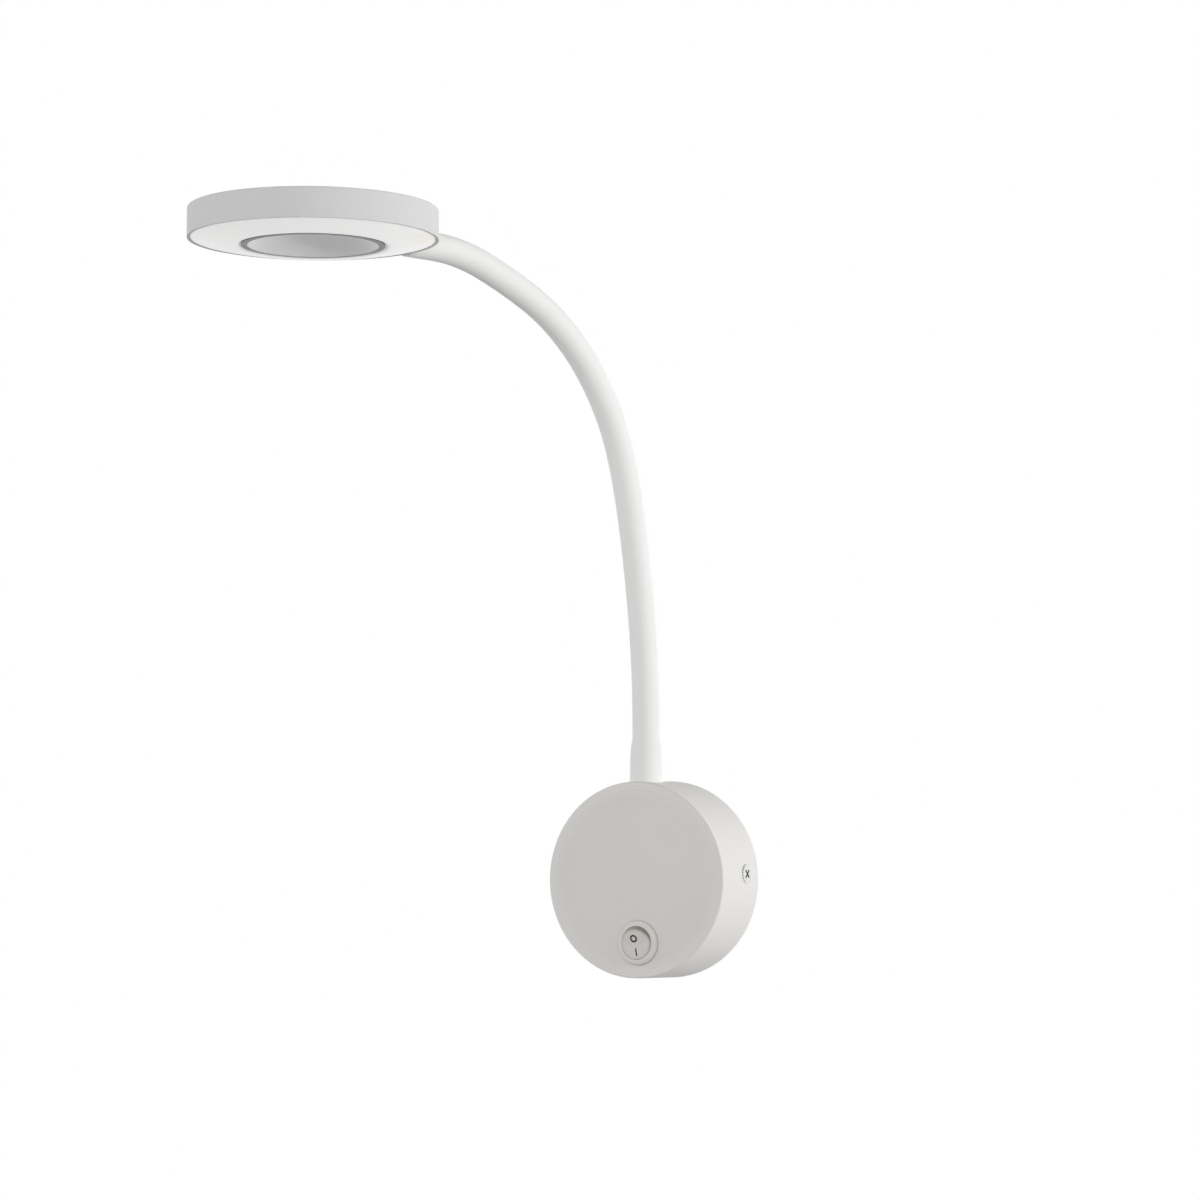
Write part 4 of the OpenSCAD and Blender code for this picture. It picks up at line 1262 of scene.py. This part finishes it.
class LAMP_OT_lock_screws(bpy.types.Operator):
    """Make the two knurled side screws with their cross recesses and threads"""

    bl_idname = "wall_lamp.lock_screws"
    bl_label = "Side screws"

    def head_and_shank(self, sizes, core, reach):
        """The screw without lobes about z: the top of its head at 0, its tip at -reach."""
        edge = sizes.head_edge
        shank = sizes.shank_radius
        tip = shank * sizes.tip_share
        tall = sizes.head_height
        inner_ring = 0.75 * core
        lower = [(0.0, -reach), (tip, -reach), (shank, -reach + sizes.tip_bevel), (shank, -tall)]
        upper = [(core, -tall), (core, -edge), (core - edge, 0.0), (inner_ring, 0.0), (0.0, 0.0)]
        return mesh_from("screw_core", lambda work: lathe(work, lower + upper, sizes.head_sides))

    def recess(self, sizes):
        """A cross that narrows towards its floor."""
        mouth = {"long": 1.08, "wide": 1.05, "height": sizes.recess_spare}
        floor = {"long": 0.6, "wide": 0.7, "height": -sizes.recess_depth}

        def outline(long, wide, height):
            """Corners of the cross: the end of each arm and the inner corner after it."""
            tip = long * sizes.recess_length / 2
            side = wide * sizes.recess_width / 2
            for quarter in range(4):
                spin = Matrix.Rotation(math.radians(45.0 + 90.0 * quarter), 3, "Z")
                for x, y in ((tip, -side), (tip, side), (side, side)):
                    yield spin @ Vector((x, y, height))

        def build(work):
            high, low = [[work.verts.new(corner) for corner in outline(**level)] for level in (mouth, floor)]
            work.faces.new(high)
            work.faces.new(list(reversed(low)))
            skin_rows(work, [low, high])

        return mesh_from("recess", build)

    def lobes(self, sizes, head_radius):
        """Lobes around the head, a little clear of its top and underside."""
        tall = sizes.head_height - sizes.lobe_inset - sizes.lobe_lift
        return grown(
            "lobes", knurl_tree, "nickel", lobes=sizes.lobes, ring_radius=head_radius - sizes.lobe_depth,
            lobe_size=(sizes.lobe_depth, sizes.lobe_width, tall), middle_height=-sizes.lobe_inset - tall / 2,
        )

    def thread(self, sizes, reach):
        """The thread on the shank, which starts near the tip."""
        turns = (reach - sizes.head_height - sizes.thread_spare) / sizes.thread_pitch
        ridge = grown(
            "thread", thread_tree, "nickel", turns=turns, shank_radius=sizes.shank_radius,
            rise=turns * sizes.thread_pitch, ridge_radius=sizes.thread_radius,
        )
        ridge.transform(Matrix.Translation((0.0, 0.0, -reach + sizes.thread_start)))
        return ridge

    def darken(self, mesh, sizes, core):
        """Gives the recess and the floors of the grooves the second material, a near-black painted shade."""
        off_ends = 0.02 * MM
        off_wall = 0.03 * MM
        recess_zone = 0.8 * core
        for face in mesh.polygons:
            middle = face.center
            around = math.hypot(middle.x, middle.y)
            sunk = -sizes.head_height + off_ends < middle.z < -off_ends
            if sunk and (around < recess_zone or abs(around - core) < off_wall):
                face.material_index = 1

    def execute(self, context):
        sizes = settings().screws
        for name, side in (("lock_screw_right", 1.0), ("lock_screw_left", -1.0)):
            low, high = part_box(name)
            head_radius = half_size(name, "z")
            core = head_radius - sizes.groove_depth
            reach = high.x - low.x - sizes.sink
            mesh = cut(name + "_knurled", self.head_and_shank(sizes, core, reach), self.recess(sizes))
            screw = object_from(name + "_knurled", mesh, "nickel", "recess")
            self.darken(mesh, sizes, core)
            joined(mesh, self.lobes(sizes, head_radius), self.thread(sizes, reach))
            top = (high.x if side > 0 else low.x) - side * sizes.sink
            seat = Matrix.Translation(middle_of(name, x=top))
            mesh.transform(seat @ Matrix.Rotation(side * math.pi / 2, 4, "Y"))
            smooth(mesh, degrees=30.0)
            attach(screw, "base")
            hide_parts(name)
        return {"FINISHED"}


def soft_least(first, second, width):
    """The smaller of two numbers, rounded where they cross."""
    near = max(width - abs(first - second), 0.0) / width
    return min(first, second) - near * near * width / 4


class LAMP_OT_rocker(bpy.types.Operator):
    """Make the rocker with its soft valley and rounded rim, its pins and its stem"""

    bl_idname = "wall_lamp.rocker"
    bl_label = "Rocker"

    def shell(self, sizes):
        """The rocker about its pivot: x along the pins, y up, z outwards."""
        rise = math.tan(sizes.slope)
        last = math.acos(-sizes.skirt / sizes.rocker_radius)
        sides = sizes.rocker_sides
        rings = sizes.rocker_rings
        least_fall = 0.05

        def reach(tilt, turn):
            """Distance from the pivot to the surface in one direction."""
            along = abs(math.sin(tilt) * math.sin(turn))
            soft = sizes.valley_round / sizes.valley * math.cos(tilt)
            bent = math.hypot(along, soft) - abs(soft)
            fall = math.cos(tilt) - rise * bent
            if fall < least_fall:
                return sizes.rocker_radius
            return soft_least(sizes.valley / fall, sizes.rocker_radius, sizes.rim_round)

        def on_surface(tilt, turn):
            flat = math.sin(tilt)
            return reach(tilt, turn) * Vector((flat * math.cos(turn), flat * math.sin(turn), math.cos(tilt)))

        def build(work):
            rows = [[work.verts.new(on_surface(0.0, 0.0))]]
            for k in range(1, rings + 1):
                turns = (2 * math.pi * i / sides for i in range(sides))
                rows.append([work.verts.new(on_surface(last * k / rings, turn)) for turn in turns])
            skin_rows(work, rows)
            work.faces.new(list(reversed(rows[-1])))

        return mesh_from("rocker_shell", build)

    def rod(self, name, radius, low, high, sides):
        """A plain round rod along z."""

        def build(work):
            lathe(work, [(0.0, low), (radius, low), (radius, high), (0.0, high)], sides)

        return mesh_from(name, build)

    def soil(self, mesh, sizes):
        """Stores how much painted shade lies along the rim: none on the faces, most on one side of the rim.
        """
        amounts = []
        for vertex in mesh.vertices:
            past = vertex.co.length - (sizes.rocker_radius - sizes.soil_width)
            depth = min(max(past / sizes.soil_width, 0.0), 1.0)
            turn = math.atan2(vertex.co.y, vertex.co.x) - sizes.soil_turn
            side = sizes.soil_least + (1.0 - sizes.soil_least) * (1.0 + math.cos(turn)) / 2
            amounts.append(depth * depth * side)
        mesh.attributes.new(RIM_SHADE, "FLOAT", "POINT").data.foreach_set("value", amounts)

    def execute(self, context):
        sizes = settings().switch
        pivot, across, up, front = switch_frame()
        solid = frame["nodes"]["switch_rocker"].data.vertices
        half = max(abs((v.co - pivot).dot(across)) for v in solid)
        stem_top = -sizes.skirt + sizes.stem_root
        stem = self.rod("rocker_stem", sizes.stem_radius, -sizes.stem_length, stem_top, sizes.stem_sides)
        pins = self.rod("rocker_pins", sizes.pin_radius, -half, half, sizes.pin_sides)
        pins.transform(Matrix.Rotation(math.pi / 2, 4, "Y"))
        mesh = self.shell(sizes)
        joined(mesh, stem, pins)
        # painted shade along the rim, stored as an attribute
        self.soil(mesh, sizes)
        turned = Matrix((across, up, front)).transposed().to_4x4()
        pressed = Matrix.Rotation(sizes.slope, 4, "X")
        mesh.transform(Matrix.Translation(pivot) @ turned @ pressed)
        smooth(mesh, degrees=40.0)
        cap = object_from("rocker_cap", mesh, "rocker")
        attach(cap, "rocker")
        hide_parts("switch_rocker")
        return {"FINISHED"}


class LAMP_OT_switch_marks(bpy.types.Operator):
    """Lay the ring and bar marks on the rocker"""

    bl_idname = "wall_lamp.switch_marks"
    bl_label = "Marks on the rocker"

    def ring(self, sizes):
        """Pairs of inner and outer points around the ring mark."""
        radii = (sizes.ring_radius - sizes.ring_stroke, sizes.ring_radius)
        for i in range(sizes.ring_steps):
            turn = 2 * math.pi * i / sizes.ring_steps
            x, y = math.cos(turn), math.sin(turn)
            yield [(sizes.ring_across + r * x, sizes.ring_up + r * y) for r in radii]

    def bar(self, sizes):
        """Pairs of left and right points along the bar mark, with round ends."""
        half = sizes.bar_length / 2
        wide = sizes.bar_width / 2
        for i in range(sizes.bar_steps + 1):
            y = -half + sizes.bar_length * i / sizes.bar_steps
            end = max(0.0, abs(y) - (half - wide))
            x = math.sqrt(max(0.0, wide * wide - end * end)) + sizes.bar_spread
            yield [(sizes.bar_across + side, sizes.bar_up + y) for side in (-x, x)]

    def band(self, sizes, skin, pairs, closed):
        """A function that fills a bmesh with a thin raised band between pairs of points on the rocker."""
        pivot, across, up, front = switch_frame()
        clear = front * 30.0 * MM

        def on_rocker(x, y):
            hit, normal, _, _ = skin.ray_cast(pivot + across * x + up * y + clear, -front)
            if hit is None:
                raise RuntimeError("a mark lies off the rocker")
            return hit, normal if normal.dot(front) > 0 else -normal

        def build(work):
            rows = []
            for pair in pairs:
                row = []
                for x, y in pair:
                    spot, normal = on_rocker(x, y)
                    row.append(work.verts.new(spot + normal * sizes.mark_rise))
                    row.append(work.verts.new(spot - normal * sizes.mark_root))
                rows.append(row)
            ahead = rows[1:] + rows[:1] if closed else rows[1:]
            for a, b in zip(rows, ahead):
                work.faces.new((a[0], b[0], b[2], a[2]))
                work.faces.new((a[1], a[3], b[3], b[1]))
                work.faces.new((a[2], b[2], b[3], a[3]))
                work.faces.new((a[0], a[1], b[1], b[0]))
            if not closed:
                first, last = rows[0], rows[-1]
                work.faces.new((first[0], first[2], first[3], first[1]))
                work.faces.new((last[0], last[1], last[3], last[2]))

        return build

    def execute(self, context):
        sizes = settings().switch
        cap = bpy.data.objects["rocker_cap"].data
        skin = BVHTree.FromPolygons(
            [v.co.copy() for v in cap.vertices], [tuple(p.vertices) for p in cap.polygons]
        )
        for name, pairs, closed in (
            ("rocker_ring_mark", self.ring(sizes), True), ("rocker_bar_mark", self.bar(sizes), False),
        ):
            mesh = mesh_from(name, self.band(sizes, skin, pairs, closed))
            mark = object_from(name, mesh, "mark")
            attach(mark, "rocker")
        return {"FINISHED"}


class LAMP_OT_terminal_screws(bpy.types.Operator):
    """Put a slotted screw in each pole of the terminal block"""

    bl_idname = "wall_lamp.terminal_screws"
    bl_label = "Terminal screws"

    def screw(self, sizes):
        """One slotted screw that stands on the origin and points to the drum's front."""
        radius = sizes.pole_radius
        tall = sizes.pole_height
        edge = sizes.pole_edge

        def body(work):
            profile = [(0.0, 0.0), (radius, 0.0), (radius, tall - edge), (radius - edge, tall), (0.0, tall)]
            lathe(work, profile, sizes.pole_sides)

        def slot(work):
            bmesh.ops.create_cube(work, size=1.0)
            bmesh.ops.scale(work, verts=work.verts, vec=(3 * radius, sizes.slot_width, tall / 2))
            bmesh.ops.translate(work, verts=work.verts, vec=(0.0, 0.0, tall))

        mesh = cut("terminal_screw", mesh_from("terminal_screw.body", body), mesh_from("slot", slot))
        mesh.transform(Matrix.Rotation(math.pi / 2, 4, "X"))
        return mesh

    def execute(self, context):
        sizes = settings().screws
        _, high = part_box("terminal_block")
        row = middle_of("terminal_block", y=high.y - sizes.pole_seat)
        points = bpy.data.meshes.new("terminal_screw.points")
        points.from_pydata([(k * sizes.pole_spacing, row.y, row.z) for k in (-1, 0, 1)], [], [])
        shape = object_from("terminal_screw.shape", self.screw(sizes))
        carrier = object_from("terminal_screw.points", points)
        add_tree(carrier, copies_tree, "brass", shape=shape)
        mesh = settled(carrier, "terminal_screws")
        bpy.data.objects.remove(shape)
        smooth(mesh, degrees=30.0)
        screws = object_from("terminal_screws", mesh, "brass")
        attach(screws, "base")
        return {"FINISHED"}


# stage


def seen_rays(tree):
    """1 for a ray that comes from the camera, a reflection or glass, and 0 for light on a surface."""
    rays = tree.nodes.new("ShaderNodeLightPath")
    seen = math_node(tree, "MAXIMUM", rays.outputs["Is Camera Ray"], rays.outputs["Is Glossy Ray"])
    return math_node(tree, "MAXIMUM", seen, rays.outputs["Is Transmission Ray"])


class LAMP_OT_stage(bpy.types.Operator):
    """Set the camera, the lights, the white room and the floor"""

    bl_idname = "wall_lamp.stage"
    bl_label = "Stage"

    def camera(self, sizes):
        """The camera of the photograph's view."""
        lens = bpy.data.cameras.new("camera")
        lens.sensor_width = sizes.camera_sensor
        lens.lens = sizes.camera_lens
        lens.clip_start = sizes.camera_near
        lens.clip_end = sizes.camera_far
        camera = bpy.data.objects.new("camera", lens)
        camera.location = sizes.camera_place
        camera.rotation_euler = (math.pi / 2 + sizes.camera_pitch, 0.0, sizes.camera_yaw)
        bpy.context.scene.collection.objects.link(camera)
        bpy.context.scene.camera = camera

    def room(self, sizes):
        """A room that is white to the eye, and whose light fades from eye level upwards and downwards."""
        world = bpy.data.worlds.new("White room")
        world.use_nodes = True
        bpy.context.scene.world = world
        tree = world.node_tree
        sky = tree.nodes["Background"]
        split = tree.nodes.new("ShaderNodeSeparateXYZ")
        tree.links.new(tree.nodes.new("ShaderNodeTexCoord").outputs["Generated"], split.inputs[0])
        levelness = math_node(tree, "SUBTRACT", 1.0, math_node(tree, "ABSOLUTE", split.outputs["Z"]))
        light = tree.nodes.new("ShaderNodeMapRange")
        light.inputs["To Min"].default_value = sizes.zenith
        light.inputs["To Max"].default_value = sizes.horizon
        strength = tree.nodes.new("ShaderNodeMapRange")
        strength.inputs["To Max"].default_value = 1.0
        link_all(
            tree,
            (math_node(tree, "POWER", levelness, sizes.fade), light.inputs["Value"]),
            (light.outputs["Result"], strength.inputs["To Min"]),
            (seen_rays(tree), strength.inputs["Value"]),
            (strength.outputs["Result"], sky.inputs["Strength"]),
        )
        sky.inputs["Color"].default_value = (1.0, 1.0, 1.0, 1.0)

    def paper(self, tone):
        """The floor's material: pale, white to the eye from above and see-through from below."""
        paper = bpy.data.materials.new("Floor paper")
        paper.use_nodes = True
        tree = paper.node_tree
        shader = tree.nodes["Principled BSDF"]
        shader.inputs["Base Color"].default_value = (tone, tone, tone, 1.0)
        shader.inputs["Roughness"].default_value = 0.9
        glow = tree.nodes.new("ShaderNodeEmission")
        above = tree.nodes.new("ShaderNodeMixShader")
        below = tree.nodes.new("ShaderNodeBsdfTransparent")
        under = tree.nodes.new("ShaderNodeNewGeometry").outputs["Backfacing"]
        either = tree.nodes.new("ShaderNodeMixShader")
        link_all(
            tree,
            (seen_rays(tree), above.inputs[0]),
            (shader.outputs[0], above.inputs[1]),
            (glow.outputs[0], above.inputs[2]),
            (under, either.inputs[0]),
            (above.outputs[0], either.inputs[1]),
            (below.outputs[0], either.inputs[2]),
            (either.outputs[0], tree.nodes["Material Output"].inputs["Surface"]),
        )
        return paper

    def floor(self, sizes):
        """A wide floor under the lamp."""

        def build(work):
            bmesh.ops.create_grid(work, x_segments=1, y_segments=1, size=sizes.floor_size / 2)
            bmesh.ops.translate(work, verts=work.verts, vec=(0.0, 0.0, sizes.floor_height))

        mesh = mesh_from("floor", build)
        mesh.materials.append(self.paper(sizes.floor_tone))
        sheet = object_from("floor", mesh)

    def key_light(self, sizes):
        """A round light on the right that is turned to the lamp."""
        light = bpy.data.lights.new("key_light", "AREA")
        light.shape = "DISK"
        light.size = sizes.key_size
        light.energy = sizes.key_power
        stand = bpy.data.objects.new("key_light", light)
        stand.location = sizes.key_place
        stand.rotation_mode = "QUATERNION"
        stand.rotation_quaternion = (Vector(sizes.key_aim) - Vector(sizes.key_place)).to_track_quat("-Z", "Y")
        bpy.context.scene.collection.objects.link(stand)

    def execute(self, context):
        sizes = settings().stage
        bpy.context.scene.view_settings.view_transform = "Standard"
        self.camera(sizes)
        self.room(sizes)
        self.floor(sizes)
        self.key_light(sizes)
        return {"FINISHED"}


class LAMP_PT_panel(bpy.types.Panel):
    """The lamp's pieces and settings"""

    bl_idname = "LAMP_PT_panel"
    bl_label = "Wall lamp"
    bl_space_type = "VIEW_3D"
    bl_region_type = "UI"
    bl_category = "Wall lamp"

    def draw(self, context):
        layout = self.layout
        for operator in OPERATORS:
            layout.operator(operator.bl_idname)
        for label in LampSettings.__annotations__:
            box = layout.box()
            box.label(text=label.capitalize())
            part = getattr(context.scene.wall_lamp, label)
            for name in part.__annotations__:
                box.prop(part, name)


OPERATORS = (
    LAMP_OT_stage,
    LAMP_OT_finishes,
    LAMP_OT_sleeve,
    LAMP_OT_lead,
    LAMP_OT_lock_screws,
    LAMP_OT_rocker,
    LAMP_OT_switch_marks,
    LAMP_OT_terminal_screws,
)

CLASSES = (
    LampNeckSettings,
    LampScrewSettings,
    LampSwitchSettings,
    LampFinishSettings,
    LampMarkSettings,
    LampStageSettings,
    LampSettings,
    *OPERATORS,
    LAMP_PT_panel,
)


def register():
    for item in CLASSES:
        bpy.utils.register_class(item)
    bpy.types.Scene.wall_lamp = PointerProperty(type=LampSettings)


def unregister():
    del bpy.types.Scene.wall_lamp
    for item in reversed(CLASSES):
        bpy.utils.unregister_class(item)


def main():
    register()
    bpy.ops.wall_lamp.stage()
    bpy.ops.wall_lamp.finishes()
    bpy.ops.wall_lamp.sleeve()
    bpy.ops.wall_lamp.lead()
    bpy.ops.wall_lamp.lock_screws()
    bpy.ops.wall_lamp.rocker()
    bpy.ops.wall_lamp.switch_marks()
    bpy.ops.wall_lamp.terminal_screws()


if __name__ == "__main__":
    main()
